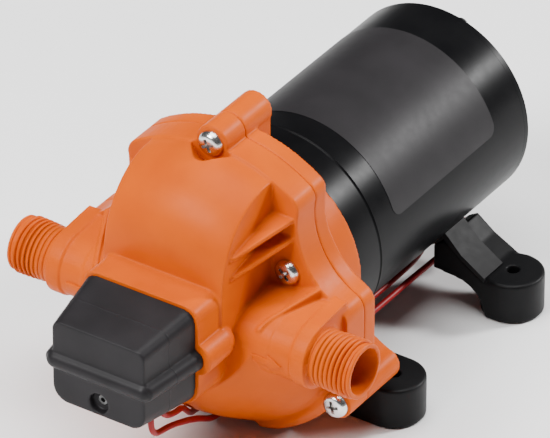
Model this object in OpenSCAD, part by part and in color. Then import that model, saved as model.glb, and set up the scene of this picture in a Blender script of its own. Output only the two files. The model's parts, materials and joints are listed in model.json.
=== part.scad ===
// Small 12 V diaphragm water pump for a caravan: three-chamber wobble-plate head,
// pressure switch on the front, permanent-magnet motor behind, four rubber feet.
// Millimetres. +Z up, +Y from the pump head towards the motor, +X towards the outlet.
// The origin is the centre of the four foot holes, on the floor.

/* [Feet] */
// Distance between the left and right foot holes
foot_pitch_x = 98.4; // [94:0.2:112]
// Distance between the front and rear foot holes
foot_pitch_y = 76; // [70:0.5:84]
// Diameter of a foot's screw hole
foot_hole_d = 4.6; // [4:0.1:6]
// Radius of a foot's round end
foot_r = 11.2; // [10:0.1:13]
// Height of a foot
foot_h = 15.5; // [14:0.5:17]
// Rounding of a foot's top edge
foot_edge = 1; // [0.5:0.1:2]
// Length of a front foot from its hole to its inner end
front_foot_len = 21; // [18:0.5:23]
// Distance from the motor's front face back to the front foot holes
ring_to_hole = 6.5; // [5:0.5:9]
// Gap between the floor and the lowest part of the head
ground_clearance = 3; // [2.5:0.5:8]

/* [Motor] */
// Outside radius of the motor can
can_r = 37.5; // [36.5:0.1:38.5]
// Wall of the motor can
can_wall = 1.6; // [1.2:0.1:2]
// Length of the motor can behind the front ring
can_len = 92.7; // [90:0.1:104]
// Step of the front ring outside the can
ring_step = 1.6; // [1:0.1:2.4]
// Length of the front ring
ring_len = 14.5; // [13:0.5:18]
// Thickness of the rear end cap
cap_t = 3.8; // [3.4:0.1:5]
// Radius of the motor shaft
shaft_r = 3; // [2.6:0.1:3.2]
// Outside radius of the shaft bushes
bush_r = 8; // [7:0.1:8.5]
// Running clearance on the shaft
run_gap = 0.03; // [0.02:0.01:0.06]
// Length of the armature core
core_len = 42; // [36:1:44]
// Air gap between the armature and the magnets
air_gap = 0.6; // [0.5:0.1:1]
// Thickness of a magnet
magnet_t = 4.8; // [4:0.1:5.2]
// Number of armature slots
slot_count = 10; // [8:2:12]
// Radius of the commutator
comm_r = 9; // [8:0.1:9.5]
// Side of a square brush
brush_w = 6; // [5:0.1:6.4]
// Radius of a through bolt
bolt_r = 1.9; // [1.6:0.1:2]

/* [Strap and rear feet] */
// Width of the motor strap
strap_w = 12.3; // [10:0.1:14]
// Thickness of the motor strap
strap_t = 1.6; // [1.2:0.1:2]
// Angle of the strap's folds below the horizontal
strap_fold = 42; // [40:1:46]
// Length of the strap's steep leg
strap_leg = 8; // [6:0.5:9]

/* [Drive housing] */
// Depth of the drive housing in front of the motor
housing_depth = 20; // [19.5:0.1:22]
// Radius of the housing's round back part
housing_r = 40; // [39.5:0.1:41]
// Thickness of the housing's lobed flange
housing_flange_t = 6.5; // [6:0.5:9]
// Radius of the wobble chamber
drive_room_r = 27; // [26.5:0.1:27.6]
// Thickness of the housing's back wall
back_wall = 3; // [2.6:0.1:3.2]
// Radius of the housing's centre hole round the motor's pilot
pilot_r = 12; // [11:0.1:12.5]
// Thickness of the tongue inside a front foot
tongue_t = 4; // [3:0.1:5]

/* [Head cover] */
// Radius of the head's lobes
head_r = 57; // [55:0.5:59]
// How far the bulge's flat underside lies inside the lobes
bulge_inset = 6; // [5:0.5:8]
// Thickness of the cover's flange
cover_flange_t = 11; // [10.6:0.1:13]
// Depth of the dome in front of the flange
dome_depth = 30; // [29:0.5:33]
// How far the upper dome stays inside the lobes
dome_inset = 0.6; // [0.4:0.1:1.5]
// Radius of the upper dome's flat front
dome_flat_r = 29; // [28:0.5:31]
// Radius of the lower bulge's flat front
bulge_flat_r = 26; // [24:0.5:28]
// How far the lower bulge swells beyond a cone
bulge_swell = 2.7; // [1.5:0.1:3.5]
// Half width of the upper dome between its pockets
dome_half_w = 24; // [23:0.5:26]
// Half width of the mound that carries the ports
mound_half_w = 38; // [36:0.5:40]
// How far the lobes' sides are flattened
lobe_flat = 2.8; // [2:0.1:3.5]
// Height of the pocket floors above the motor axis
pocket_z = 10.5; // [10:0.1:12]
// Radius of the concave notches between the lobes
notch_r = 30; // [28:0.5:33]
// How far the notch centres lie outside the lobes
notch_out = 17; // [16:0.5:19]
// Rounding of the lobe corners
lobe_fillet = 6; // [5:0.5:7]
// How far the lobe screws stand outside the lobes' radius
lobe_screw_out = 1; // [0:0.2:2]
// Bolt circle radius of the notch screws
inner_screw_pcr = 35.5; // [35:0.1:36.5]
// Radius of the lug round the top lobe screw
lug_r = 6.3; // [5.8:0.1:7]
// Radius of the lugs round the lower lobe screws
low_lug_r = 5.6; // [5:0.1:6.4]
// Radius of a cover screw's head
screw_head_r = 4.7; // [4.2:0.1:5]
// Radius of a cover screw's shank
screw_r = 2; // [1.6:0.1:2.2]
// Thickness of a pocket fin
fin_t = 1.8; // [1.4:0.1:2.4]

/* [Ports] */
// Major diameter of the port thread
port_thread_d = 20.955; // [20.9:0.005:21]
// Length of the port thread
port_thread_len = 17; // [15:0.5:18]
// Bore of a port
port_bore_d = 16.4; // [15:0.1:17]
// Depth of a port's wide bore
port_bore_len = 29; // [26:0.5:31]
// Distance from the centre to a port's tip
port_tip_x = 69.6; // [68:0.1:76]
// Distance of the port axis in front of the head's flange face
port_forward = 12.5; // [12:0.1:14]
// Drop of the port axis below the motor axis
port_drop = 1; // [0.5:0.1:2]
// Thickness of a port's collar
collar_t = 5.7; // [5:0.1:6.5]
// Radius of a port's collar
collar_r = 11.9; // [11.7:0.1:12.4]
// Radius of a port's neck
neck_r = 11.2; // [10.8:0.1:11.3]

/* [Valves and wobble plate] */
// Radius of the valve plate
plate_r = 30.5; // [30:0.1:30.9]
// Thickness of the valve plate
plate_t = 6.8; // [6.6:0.1:7.6]
// Radius of the circle on which the pistons stand
piston_pcr = 17; // [16.6:0.1:17.4]
// Radius of a pumping chamber
chamber_r = 8.5; // [8:0.1:8.8]
// Depth of a pumping chamber
chamber_depth = 4.1; // [4:0.1:4.6]
// Radius of a piston cap
piston_r = 6.3; // [5.6:0.1:6.6]
// Thickness of a piston cap
piston_t = 1.75; // [1.6:0.05:1.8]
// Thickness of the diaphragm
diaphragm_t = 1.5; // [1.2:0.1:1.7]
// Tilt of the wobble plate
wobble_tilt = 2.2; // [1.8:0.1:2.3]
// Outside radius of the cam bearing
bearing_r = 11; // [10.6:0.1:11.4]
// Radius of the cam's journal
journal_r = 5; // [4.9:0.05:5.2]
// Width of the cam bearing
bearing_w = 6; // [5:0.1:6]
// Number of balls in the cam bearing
ball_count = 7; // [6:1:8]

/* [Pressure switch] */
// Half width of the switch box at its base
box_half_w = 22; // [21:0.2:23]
// Top of the switch box at its base, above the motor axis
box_top = 21.6; // [21:0.2:22.4]
// Bottom of the switch box at its base, below the motor axis
box_drop = 16; // [15.4:0.2:17]
// Depth of the switch box
box_depth = 25; // [24.5:0.5:28]
// Size of the switch box's front face as a share of its base
box_taper = 0.84; // [0.82:0.01:0.92]
// Wall of the switch box
box_wall = 2; // [1.6:0.1:2.4]
// Radius of the half-round bead along the box
bead_r = 4; // [3.4:0.1:4.4]
// Height of the bead above the motor axis, at the base
bead_z = 2.9; // [2:0.1:4]
// Depth of the orange base behind the switch box
base_depth = 12.5; // [12:0.5:15]
// Lip of the base round the box
base_lip = 1.2; // [0.8:0.1:2]
// Drop of the switch's spring axis below the motor axis
spring_drop = 9; // [8.6:0.1:9.4]
// Diameter of the adjuster's hole in the box front
adjuster_hole_d = 7.4; // [6.8:0.1:8]
// Inside radius of the spring's guide tube
guide_r = 3.6; // [3.4:0.1:3.7]
// Wall of the guide tube
guide_wall = 1.2; // [1:0.1:1.3]
// Wire diameter of the switch spring
spring_wire = 0.7; // [0.5:0.1:0.8]
// Mean radius of the switch spring
spring_r = 2.7; // [2.5:0.1:2.8]

/* [Fits] */
// Clearance between seated pieces
seat_gap = 0.05; // [0.03:0.01:0.1]
// Clearance round a soft or dropped-in piece
loose_gap = 0.3; // [0.2:0.05:0.4]

/* [Hidden] */
$fn = 64;
eps = 0.01;

// Colours as seen on the object
orange = [0.95, 0.42, 0.10];
charcoal = [0.25, 0.24, 0.26];
motor_black = [0.10, 0.10, 0.11];
rubber_black = [0.08, 0.08, 0.08];
zinc = [0.75, 0.75, 0.76];
steel = [0.55, 0.56, 0.58];
dark_steel = [0.28, 0.28, 0.29];
bronze = [0.70, 0.50, 0.28];
copper = [0.72, 0.42, 0.22];
white_plastic = [0.88, 0.88, 0.85];
lead_red = [0.52, 0.09, 0.11];

// Head radii
bulge_r = head_r - bulge_inset;
dome_r = head_r - dome_inset;
dome_shoulder = dome_r - dome_flat_r;
notch_d = head_r + notch_out;
flat_x = head_r - lobe_flat;
outer_screw_pcr = head_r + lobe_screw_out;

// Frame: the motor axis crosses the front face of the motor ring at (0, ring_y, axis_h)
axis_h = bulge_r + ground_clearance;
ring_y = -foot_pitch_y / 2 - ring_to_hole;
floor_z = -axis_h;
foot_top_z = floor_z + foot_h;

// Stations along the motor axis, measured from the ring's front face
part_y = -housing_depth;
flange_y = part_y - cover_flange_t;
dome_y = flange_y - dome_depth;
base_y = dome_y - base_depth;
box_y = base_y - box_depth;
port_y = flange_y - port_forward;
can_y0 = ring_len;
can_y1 = ring_len + can_len;
cap_y1 = can_y1 + cap_t;

// Screw angles: lobes and the notches between them
lobe_angles = [90, 210, 330];
notch_angles = [30, 150, 270];
low_angles = [lobe_angles[1], lobe_angles[2]];

// Head
flange_thread_y = part_y + 11;
head_screw_h = 3;
lug_back_top = -4;
recess_r = screw_head_r + 4;
recess_tip_r = 2;
lug_web_inset = 0.5;
recess_len = 9;
counterbore_gap = 0.6;
edge_in_r = head_r - 3;
edge_out_r = head_r + 4;
edge_slope = 8;
rim_drop = 0.6;
pocket_x0 = 30;
pocket_x1 = 36.4;
pocket_y1 = port_y - 1.5;
pressure_hole_r = 2.2;
wire_channel_r = 9;
wire_channel_z = -bulge_r - 2;
dome_front_wall = 13;
mound_r = pocket_z + port_drop;
shelf_rise = 11.8;
mound_rise = shelf_rise + 0.4;
slope_low = 20;
rim_rise = 15.6;
rim_t = 1.8;
shelf_low = -6;
fin_zs = [30.1, 37.7];
fin_slope = 12;
passage_r = port_bore_d / 2 - 1.4;
room_y = dome_y + dome_front_wall;
plate_gap = 0.1;
plate_y1 = part_y - diaphragm_t;
plate_y0 = plate_y1 - plate_t;
plate_seat_y = plate_y0 - plate_gap;
plate_room_r = plate_r + loose_gap;
seal_t = 1.2;
outlet_room_r = 11.8;
outlet_wall = 2.2;
inlet_room_r = 28;
inlet_room_half_w = dome_half_w - 3.5;
inlet_room_top = pocket_z - 3.5;
seal_r = outlet_room_r + outlet_wall;
chamber_y = plate_y1 - chamber_depth;

// Wobble
pivot_y = part_y - 1;
boss_y1 = part_y + 0.3;
boss_t = 2;
boss_y0 = boss_y1 - boss_t;
bearing_y1 = -back_wall - 3.8;
bearing_y0 = bearing_y1 - bearing_w;
race_mid_y = (bearing_y0 + bearing_y1) / 2;
ball_pcr = (bearing_r + journal_r) / 2;
ball_r = 1.9;
groove_r = ball_r + 0.1;
race_land = 1.2;
cam_y0 = bearing_y0 - 0.7;
collar_y1 = -back_wall - 0.2;
cam_collar_r = 8;
wobble_hub_r = bearing_r + 3;
pad_y0 = boss_y1 + seat_gap;

// Motor
core_back = 17.5;
brush_reach = 18;
ring_r = can_r + ring_step;
can_in_r = can_r - can_wall;
spigot_r = can_in_r - seat_gap;
spigot_in_r = spigot_r - 2.8;
ring_plate_t = 5;
bush_len = 10;
bush_wall = 3;
cup_h = 1.2;
bush_y0 = -1;
rear_bush_len = 8;
rear_bush_y0 = can_y1 - 7.2;
shaft_y0 = cam_y0 + 0.5;
shaft_y1 = rear_bush_y0 + rear_bush_len + 0.3;
core_y0 = can_y0 + core_back;
core_y1 = core_y0 + core_len;
magnet_over = 4;
core_r = can_in_r - seat_gap - magnet_t - air_gap;
slot_r = 2.6;
slot_pcr = core_r - slot_r - 1.6;
winding_end = 7.5;
comm_y1 = can_y1 - 12.2;
comm_y0 = comm_y1 - 11;
holder_y0 = comm_y1 - 1;
holder_t = 2.5;
brush_y = comm_y1 - 5.3;
brush_box = brush_w + 3;
brush_len = 10;
brush_box_x1 = comm_r + brush_reach;
brush_spring_gap = 0.1;
bolt_pcr = can_in_r - bolt_r - 0.5;
bolt_angles = [75, 255];
grommet_y = can_y1 - 9.2;
grommet_angles = [14, 3];
grommet_r = 2.5;
lead_notch_w = [4, can_r * 0.37];

// Switch
switch_z = -spring_drop;
taper_z = -2.3;
base_recess = 3;
tube_y1 = base_y + base_recess - 1.6;
switch_diaphragm_t = 1.2;
front_t = box_wall + 1.5;
adjuster_recess = 2.7;
adjuster_web = 1;
adjuster_y0 = box_y + adjuster_recess;
front_wall_y = adjuster_y0 + adjuster_web;
plunger_flange_t = 2.4;
plunger_y1 = tube_y1;
plunger_y0 = plunger_y1 - plunger_flange_t;
plunger_rod_r = 1.6;
arm_y1 = base_y - 3.7;
arm_y0 = arm_y1 - 2.6;
screw_collar_t = 1.2;
adjust_r = 1.8;
seat_travel = 1.4;
seat_y0 = front_wall_y + seat_gap + screw_collar_t + seat_travel;
seat_t = 2.9;
seat_y1 = seat_y0 + seat_t;
guide_slot = 3;
arm_half_w = guide_slot / 2 - 0.2;
arm_t = 1.2;
arm_bar = guide_r + guide_wall - spring_r - spring_wire / 2 - 0.35;
slot_end = tube_y1 - arm_t + 0.4;
micro_z0 = 2;
micro_h = 6.4;
micro_w = 20;
micro_d = 10;
micro_y1 = arm_y0 - 2.2;
micro_y0 = micro_y1 - micro_d;
terminal_ys = [micro_y0 + 3, micro_y0 + 9];
terminal_x1 = micro_w / 2 + 4.4;
lead_hole_r = 1.8;
lead_hole_x = 14.4;
peg_r = 1.1;
peg_x = 4.75;
button_r = 1.2;
bump_x = box_half_w - 0.4;
bump_peg_r = 1.5;
bump_peg_len = 6;

// Leads: hand-laid routes in the part's own frame, their ends set out from the can's grommets
lead_r = 1.1;
function under_can(a, out, behind) = [(can_r + out) * sin(a), ring_y + grommet_y + behind,
    axis_h - (can_r + out) * cos(a)];
// Under the head the leads keep their height above the floor; in front and behind they follow the axis
laid_axis_h = 54;
under_y0 = -86;
under_y1 = -54;
follow_len = 18;
function follow(y) = max(0, min(1, max(under_y0 - y, y - under_y1) / follow_len));
function laid(points) = [for (p = points) p + [0, 0, follow(p[1]) * (axis_h - laid_axis_h)]];
front_route = concat(laid([[13.2, -133.5, 57.8], [13.6, -133.5, 53], [14.2, -133.5, 47], [14.4, -133.5, 41],
    [14.5, -133.3, 36], [14.5, -132.2, 33], [14.2, -130, 31], [13.4, -126, 29.2], [12, -119, 26.4],
    [10.5, -111, 22.6], [9, -103, 18.4], [7.6, -95.5, 14], [6.4, -89.5, 10], [5.4, -85, 7.2],
    [5, -80.5, 5.8], [5, -72.5, 5.2], [6, -64.5, 5.4], [8, -55.5, 6.6],
    [12, -46.5, 8.6], [16, -36.5, 10.2], [18.6, -24.5, 11], [19.4, -10.5, 11.2], [19.6, 3.5, 11.2],
    [19.6, 17.5, 11.2], [19.6, 27, 11], [19.8, 35.5, 11], [20.6, 43.5, 11.1], [22, 49, 11.4],
    [24.2, 52.4, 12.2], [25, 55.4, 12.8], [23.6, 58.2, 13]]), [under_can(26.5, 8.3, 5.5),
    under_can(22.5, 6.9, 4.3), under_can(18.4, 5.5, 2.1), under_can(15.2, 4, 0.4),
    under_can(grommet_angles[0], 2.9, 0), under_can(grommet_angles[0], 1.9, 0)]);
rear_route = concat(laid([[13.2, -127.5, 57.8], [13.6, -127.5, 53], [14.1, -127.5, 47], [14.3, -127.4, 41],
    [14.3, -126.4, 37.4], [14, -124, 34.8], [12.6, -119, 31.6], [10.6, -113, 28.4], [8.4, -107.5, 25.4],
    [6, -102.5, 21.8], [3.6, -97.5, 17.4], [1.4, -92.5, 12.6], [-0.6, -88, 9], [-2, -84, 7],
    [-2.5, -79, 5.6], [-2.5, -72.5, 5.2], [-2, -64.5, 5.4], [0, -54.5, 6.8],
    [4, -44.5, 8.8], [8, -34.5, 10.4], [12, -22.5, 11], [14, -10.5, 11.2], [14.5, 3.5, 11.2],
    [14.5, 17.5, 11.2], [14, 29.5, 11.2], [12, 38.5, 11.6]]), [under_can(10.8, 5, -8),
    under_can(6, 4.1, -3.5), under_can(3.4, 3.4, -0.9),
    under_can(grommet_angles[1], 2.5, -0.1), under_can(grommet_angles[1], 1.9, 0)]);

// Placing helpers

// Moves a piece drawn about the motor axis to its place in the part's frame
module at_motor() translate([0, ring_y, axis_h]) children();

// Extrudes a front view, drawn as (x, z), between two stations
module slab(y0, y1) translate([0, y1, 0]) rotate([90, 0, 0]) linear_extrude(y1 - y0) children();

// Turns a profile drawn as (radius, station) about the motor axis
module turned() rotate([-90, 0, 0]) rotate_extrude() children();

// Round bar along the motor axis
module bar(y0, y1, r) translate([0, y0, 0]) rotate([-90, 0, 0]) cylinder(h = y1 - y0, r = r);

// Round bar along X
module cross_bar(x0, x1, r) translate([x0, 0, 0]) rotate([0, 90, 0]) cylinder(h = x1 - x0, r = r);

// Ring along the motor axis
module sleeve(y0, y1, r_out, r_in) difference() {
    bar(y0, y1, r_out);
    bar(y0 - 1, y1 + 1, r_in);
}

// Copies round the motor axis at a bolt circle
module round_axis(pcr, angles) for (a = angles) translate([pcr * cos(a), 0, pcr * sin(a)]) children();

// Copies on the left and on the right
module both_sides() {
    children();
    mirror([1, 0, 0]) children();
}

// Tips a piece to the wobble plate's angle about its pivot
module tipped() translate([0, pivot_y, 0]) rotate([wobble_tilt, 0, 0]) translate([0, -pivot_y, 0]) children();

// Rectangle with its own radius at the top and at the bottom corners
module rounded_panel(half_w, z0, z1, r_top, r_bottom) hull() {
    for (s = [-1, 1]) {
        translate([s * (half_w - r_top), z1 - r_top]) circle(r_top, $fn = 32);
        translate([s * (half_w - r_bottom), z0 + r_bottom]) circle(r_bottom, $fn = 32);
    }
}

// Pan-head screw along the motor axis, head in front of station y
module pan_screw(y, len, r, head_r, head_h) turned() {
    translate([0, y]) square([r, len]);
    intersection() {
        translate([0, y - head_h]) square([head_r, head_h]);
        translate([0, y - head_h + head_r * 1.25]) circle(head_r * 1.25);
    }
}

// Swept round tubes for leads and springs

function unit(v) = v / norm(v);

function tangents(p) = [for (i = [0:len(p) - 1])
    unit(p[min(i + 1, len(p) - 1)] - p[max(i - 1, 0)])];

// Carries one side vector along the path without twist
function side_vectors(t, first) = [for (i = 0, n = first; i < len(t);
    i = i + 1, n = i < len(t) ? unit(n - (n * t[i]) * t[i]) : n) n];

module swept_tube(path, r, sides) {
    t = tangents(path);
    guess = abs(t[0][0]) < 0.9 ? [1, 0, 0] : [0, 1, 0];
    n = side_vectors(t, unit(guess - (guess * t[0]) * t[0]));
    rings = len(path);
    points = [for (i = [0:rings - 1]) let (b = cross(t[i], n[i])) for (k = [0:sides - 1])
        path[i] + r * cos(360 * k / sides) * n[i] + r * sin(360 * k / sides) * b];
    walls = [for (i = [0:rings - 2]) for (k = [0:sides - 1])
        let (a = i * sides + k, b = i * sides + (k + 1) % sides)
        each [[a, a + sides, b], [b, a + sides, b + sides]]];
    first_cap = [for (k = [1:sides - 2]) [0, k, k + 1]];
    last = (rings - 1) * sides;
    last_cap = [for (k = [1:sides - 2]) [last, last + k + 1, last + k]];
    polyhedron(points, concat(first_cap, walls, last_cap));
}

// Coil spring along +Y from the origin, its ends lying inside its length
module coil_spring(length, r, wire, turns) {
    steps = turns * 8;
    rise = length - wire;
    path = [for (i = [0:steps]) [r * cos(45 * i), wire / 2 + rise * i / steps, r * sin(45 * i)]];
    swept_tube(path, wire / 2, 6);
}

// Pump head

// Corner of a lobe beside a notch that points along +X
corner_r = head_r - lobe_fillet;
corner_a = acos((corner_r ^ 2 + notch_d ^ 2 - (notch_r + lobe_fillet) ^ 2) / (2 * corner_r * notch_d));
sharp_a = acos((head_r ^ 2 + notch_d ^ 2 - notch_r ^ 2) / (2 * head_r * notch_d));

// What the fillet takes off one sharp lobe corner
module corner_waste() {
    c = corner_r * [cos(corner_a), sin(corner_a)];
    toward = unit([notch_d, 0] - c);
    difference() {
        polygon([c, 1.1 * head_r * [cos(corner_a), sin(corner_a)],
            1.1 * head_r * [cos(sharp_a), sin(sharp_a)], c + lobe_fillet * toward]);
        translate(c) circle(lobe_fillet);
    }
}

// What the fillet takes off the upper corner of a flattened lobe side
module flat_corner_waste() {
    notch = notch_d * [cos(notch_angles[0]), sin(notch_angles[0])];
    x = flat_x - lobe_fillet;
    c = [x, notch[1] - sqrt((notch_r + lobe_fillet) ^ 2 - (notch[0] - x) ^ 2)];
    sharp_z = notch[1] - sqrt(notch_r ^ 2 - (notch[0] - flat_x) ^ 2);
    difference() {
        polygon([c, [flat_x + 1, c[1]], [flat_x + 1, sharp_z + 1], c + (lobe_fillet + 1) * unit(notch - c)]);
        translate(c) circle(lobe_fillet - eps);
    }
}

// Three-lobed outline with flattened sides that the cover and the drive housing share
module lobed_outline() difference() {
    intersection() {
        circle(head_r);
        square([2 * flat_x, 3 * head_r], center = true);
    }
    flat_corner_waste();
    mirror([1, 0]) flat_corner_waste();
    for (a = notch_angles) rotate(a) {
        translate([notch_d, 0]) circle(notch_r);
        corner_waste();
        mirror([0, 1]) corner_waste();
    }
}

// Drum profile with a rounded front shoulder
module drum_profile(r, shoulder) {
    translate([0, dome_y]) square([r - shoulder, part_y - dome_y]);
    translate([0, dome_y + shoulder]) square([r, part_y - dome_y - shoulder]);
    intersection() {
        translate([r - shoulder, dome_y + shoulder]) circle(shoulder);
        translate([r - shoulder, dome_y]) square([shoulder, shoulder]);
    }
}

// Profile of the lower bulge: a swollen cone from its flat front to the lobes' rim
module bulge_profile() {
    front = [bulge_flat_r, dome_y];
    back = [head_r - 0.2, part_y - 1.6];
    out = unit([back[1] - front[1], front[0] - back[0]]);
    polygon(concat([[0, part_y - 1], [0, dome_y]],
        [for (t = [0:0.1:1]) front + t * (back - front) + 4 * bulge_swell * t * (1 - t) * out],
        [[back[0], part_y - 1]]));
}

// Extrudes a side view, drawn as (y, z), between two stations across the pump
module across(x0, x1) translate([x0, 0, 0]) rotate([90, 0, 90]) linear_extrude(x1 - x0) children();

// Side view of the bulge's upper limit: the port mound with its front slope
module mound_limit() hull() {
    translate([port_y, -port_drop]) circle(mound_r - 0.4, $fn = 32);
    translate([dome_y - 1, -bulge_r]) square([part_y - dome_y + 1, bulge_r - slope_low]);
}

// Side view of a port's neck or collar: a round with its shelf rising to the flange
module neck_section(r, rise) {
    centre = [port_y, -port_drop];
    edge = [flange_y, rise];
    reach = edge - centre;
    touch = atan2(reach[1], reach[0]) + acos(r / norm(reach));
    round_end = 300;
    polygon(concat([edge, edge + [3, 0], [edge[0] + 3, shelf_low]],
        [for (i = [24:-1:0]) let (a = touch + i * (round_end - touch) / 24) centre + r * [cos(a), sin(a)]]));
}

// Keeps what lies in a range of heights and within a half width
module within(half_w, z0, z1) intersection() {
    children();
    translate([-half_w, dome_y - 1, z0]) cube([2 * half_w, part_y - dome_y + 1, z1 - z0]);
}

// Outline of the switch box at its base, then the same with the bead's bumps
module box_panel(grow) rounded_panel(box_half_w + grow, -box_drop - grow, box_top + grow, 4 + grow, 7 + grow);

module box_outline(grow) {
    box_panel(grow);
    for (s = [-1, 1]) translate([s * bump_x, bead_z]) circle(bead_r + grow, $fn = 32);
}

// One pocket fin, a gusset between the dome's side and the flange that falls towards the front
module pocket_fin(z) translate([0, flange_y, z]) rotate([fin_slope, 0, 0]) linear_extrude(fin_t)
    polygon([[dome_half_w - 2, 1], [dome_half_w + 9, 1], [dome_half_w + 9, 0],
        [dome_half_w + 1, 5 - dome_depth], [dome_half_w - 2, 5 - dome_depth]]);

// Rim between the pocket and the neck: high at the flange, running out on the mound's front
rim_back = [44.2, flange_y];
rim_front = [33.9, port_y - 9.2];

module pocket_rim() {
    intersection() {
        linear_extrude(rim_rise + 1) polygon([rim_back, rim_front, rim_front - [rim_t, 0], rim_back - [rim_t, 0]]);
        across(rim_front[0] - rim_t - 1, rim_back[0] + 1) neck_section(mound_r + rim_t / 2, rim_rise);
    }
    // Slope from the pocket's floor up to the rim
    hull() {
        translate([pocket_x0, flange_y, 0]) cube([1, 1, pocket_z]);
        translate([rim_back[0] - rim_t - 1, flange_y, 0]) cube([1, 1, rim_rise - rim_drop]);
        translate([pocket_x1, pocket_y1, 0]) cube([1, 1, pocket_z - rim_drop / 3]);
    }
}

// Outlet side of the cover: neck, collar, shelf and threaded spigot
module port_side() {
    collar_x1 = port_tip_x - port_thread_len;
    collar_x0 = collar_x1 - collar_t;
    across(mound_half_w - 12, collar_x1 - 1) neck_section(neck_r, shelf_rise);
    across(collar_x0, collar_x1) neck_section(collar_r, shelf_rise + 0.2);
    translate([0, port_y, -port_drop]) cross_bar(collar_x1 - 1, port_tip_x, port_thread_d / 2);
    pocket_rim();
}

// Lug of a lobe screw with the web that joins it to the head
module lug_bar(a, y0, y1, r) {
    round_axis(outer_screw_pcr, [a]) bar(y0, y1, r);
    web = r - lug_web_inset;
    slab(y0, y1) rotate(a) translate([plate_room_r + 3, -web])
        square([outer_screw_pcr - plate_room_r - 3, 2 * web]);
}

module head_cover() color(orange) at_motor() difference() {
    union() {
        difference() {
            slab(flange_y, part_y) lobed_outline();
            // Front edge of the lower lobes, sloped to follow the bulge
            intersection() {
                turned() polygon([[edge_in_r, flange_y - 1], [edge_out_r, flange_y - 1],
                    [edge_out_r, flange_y + edge_slope], [edge_in_r, flange_y + eps]]);
                translate([-head_r, flange_y - 1, -head_r - 1]) cube([2 * head_r, cover_flange_t, head_r - slope_low]);
            }
        }
        lug_bar(lobe_angles[0], flange_y, part_y, lug_r);
        round_axis(outer_screw_pcr, low_angles) bar(flange_y, part_y, low_lug_r);
        within(dome_half_w, -port_drop, head_r + 1) turned() drum_profile(dome_r, dome_shoulder);
        intersection() {
            turned() bulge_profile();
            across(-head_r - 1, head_r + 1) mound_limit();
        }
        across(-mound_half_w, mound_half_w) neck_section(mound_r, mound_rise);
        slab(base_y, dome_y + 8) box_panel(base_lip);
        both_sides() translate([bump_x, 0, bead_z]) {
            bar(base_y, dome_y, bead_r + 2 * base_lip);
            translate([0, dome_y, 0]) sphere(bead_r + 2 * base_lip);
        }
        both_sides() {
            port_side();
            for (z = fin_zs) pocket_fin(z);
        }
    }
    // Seat of the valve plate, then the outlet room inside the C-shaped inlet room
    bar(plate_seat_y, part_y + 1, plate_room_r);
    bar(plate_seat_y - seal_t, plate_seat_y + 1, seal_r);
    bar(room_y, plate_seat_y + 1, outlet_room_r);
    difference() {
        slab(room_y, plate_seat_y + 1) intersection() {
            difference() {
                circle(inlet_room_r);
                circle(seal_r);
            }
            union() {
                square([2 * inlet_room_half_w, 2 * inlet_room_r], center = true);
                translate([-inlet_room_r, -inlet_room_r])
                    square([2 * inlet_room_r, inlet_room_r + inlet_room_top]);
            }
        }
        translate([0, port_y, -port_drop]) cross_bar(0, port_tip_x, neck_r);
    }
    translate([0, port_y, -port_drop]) {
        cross_bar(outlet_room_r - 4, port_tip_x, passage_r);
        cross_bar(-port_tip_x, -seal_r - 4, passage_r);
        both_sides() cross_bar(port_tip_x - port_bore_len, port_tip_x + 1, port_bore_d / 2);
    }
    // Pressure passage and seat of the switch diaphragm
    translate([0, 0, switch_z]) {
        bar(base_y, room_y + 1, pressure_hole_r);
        bar(base_y - 1, base_y + base_recess, guide_r + guide_wall + loose_gap);
    }
    // Recess in the dome round the top screw's head
    round_axis(outer_screw_pcr, [lobe_angles[0]]) translate([0, flange_y, 0]) rotate([90, 0, 0])
        cylinder(h = recess_len, r1 = recess_r, r2 = recess_tip_r);
    // Screw holes; the lowest notch screw lies at the bottom of a deep counterbore
    round_axis(outer_screw_pcr, lobe_angles) bar(flange_y - 1, part_y + 1, screw_r + seat_gap);
    round_axis(inner_screw_pcr, notch_angles) {
        bar(flange_y - 1, part_y + 1, screw_r + seat_gap);
        bar(dome_y - 1, flange_y, screw_head_r + counterbore_gap);
    }
    both_sides() translate([bump_x, 0, bead_z])
        bar(base_y - 1, base_y + bump_peg_len + loose_gap, bump_peg_r + seat_gap);
    // Channel under the head for the switch leads
    translate([0, 0, wire_channel_z]) bar(dome_y - 1, part_y + 1, wire_channel_r);
}

// Drive housing: lobed flange, round body, lugs and the tongues that carry the front feet
module drive_housing() color(orange) at_motor() difference() {
    union() {
        slab(part_y, part_y + housing_flange_t) lobed_outline();
        bar(part_y + 1, 0, housing_r);
        lug_bar(lobe_angles[0], part_y, lug_back_top, lug_r);
        for (a = low_angles) lug_bar(a, part_y, 0, low_lug_r);
        both_sides() front_foot_tongue();
    }
    bar(part_y - 1, -back_wall, drive_room_r);
    bar(-back_wall - 1, 1, pilot_r);
    round_axis(outer_screw_pcr, lobe_angles) bar(part_y - 1, flange_thread_y, screw_r + seat_gap);
    round_axis(inner_screw_pcr, notch_angles) bar(part_y - 1, flange_thread_y, screw_r + seat_gap);
    round_axis(face_screw_pcr, notch_angles) bar(-back_wall - 1, 1, screw_r + seat_gap);
    translate([0, 0, wire_channel_z]) bar(part_y - 1, 1, wire_channel_r);
}

face_screw_pcr = 19;
tongue_half_w = 7;
foot_in_x = foot_pitch_x / 2 - front_foot_len;
tongue_x0 = foot_in_x - 7.5;
tongue_x1 = foot_pitch_x / 2 - 5;
tongue_z0 = floor_z + 6;
tongue_web_h = 27;
tongue_web_y = part_y + 10;

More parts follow.
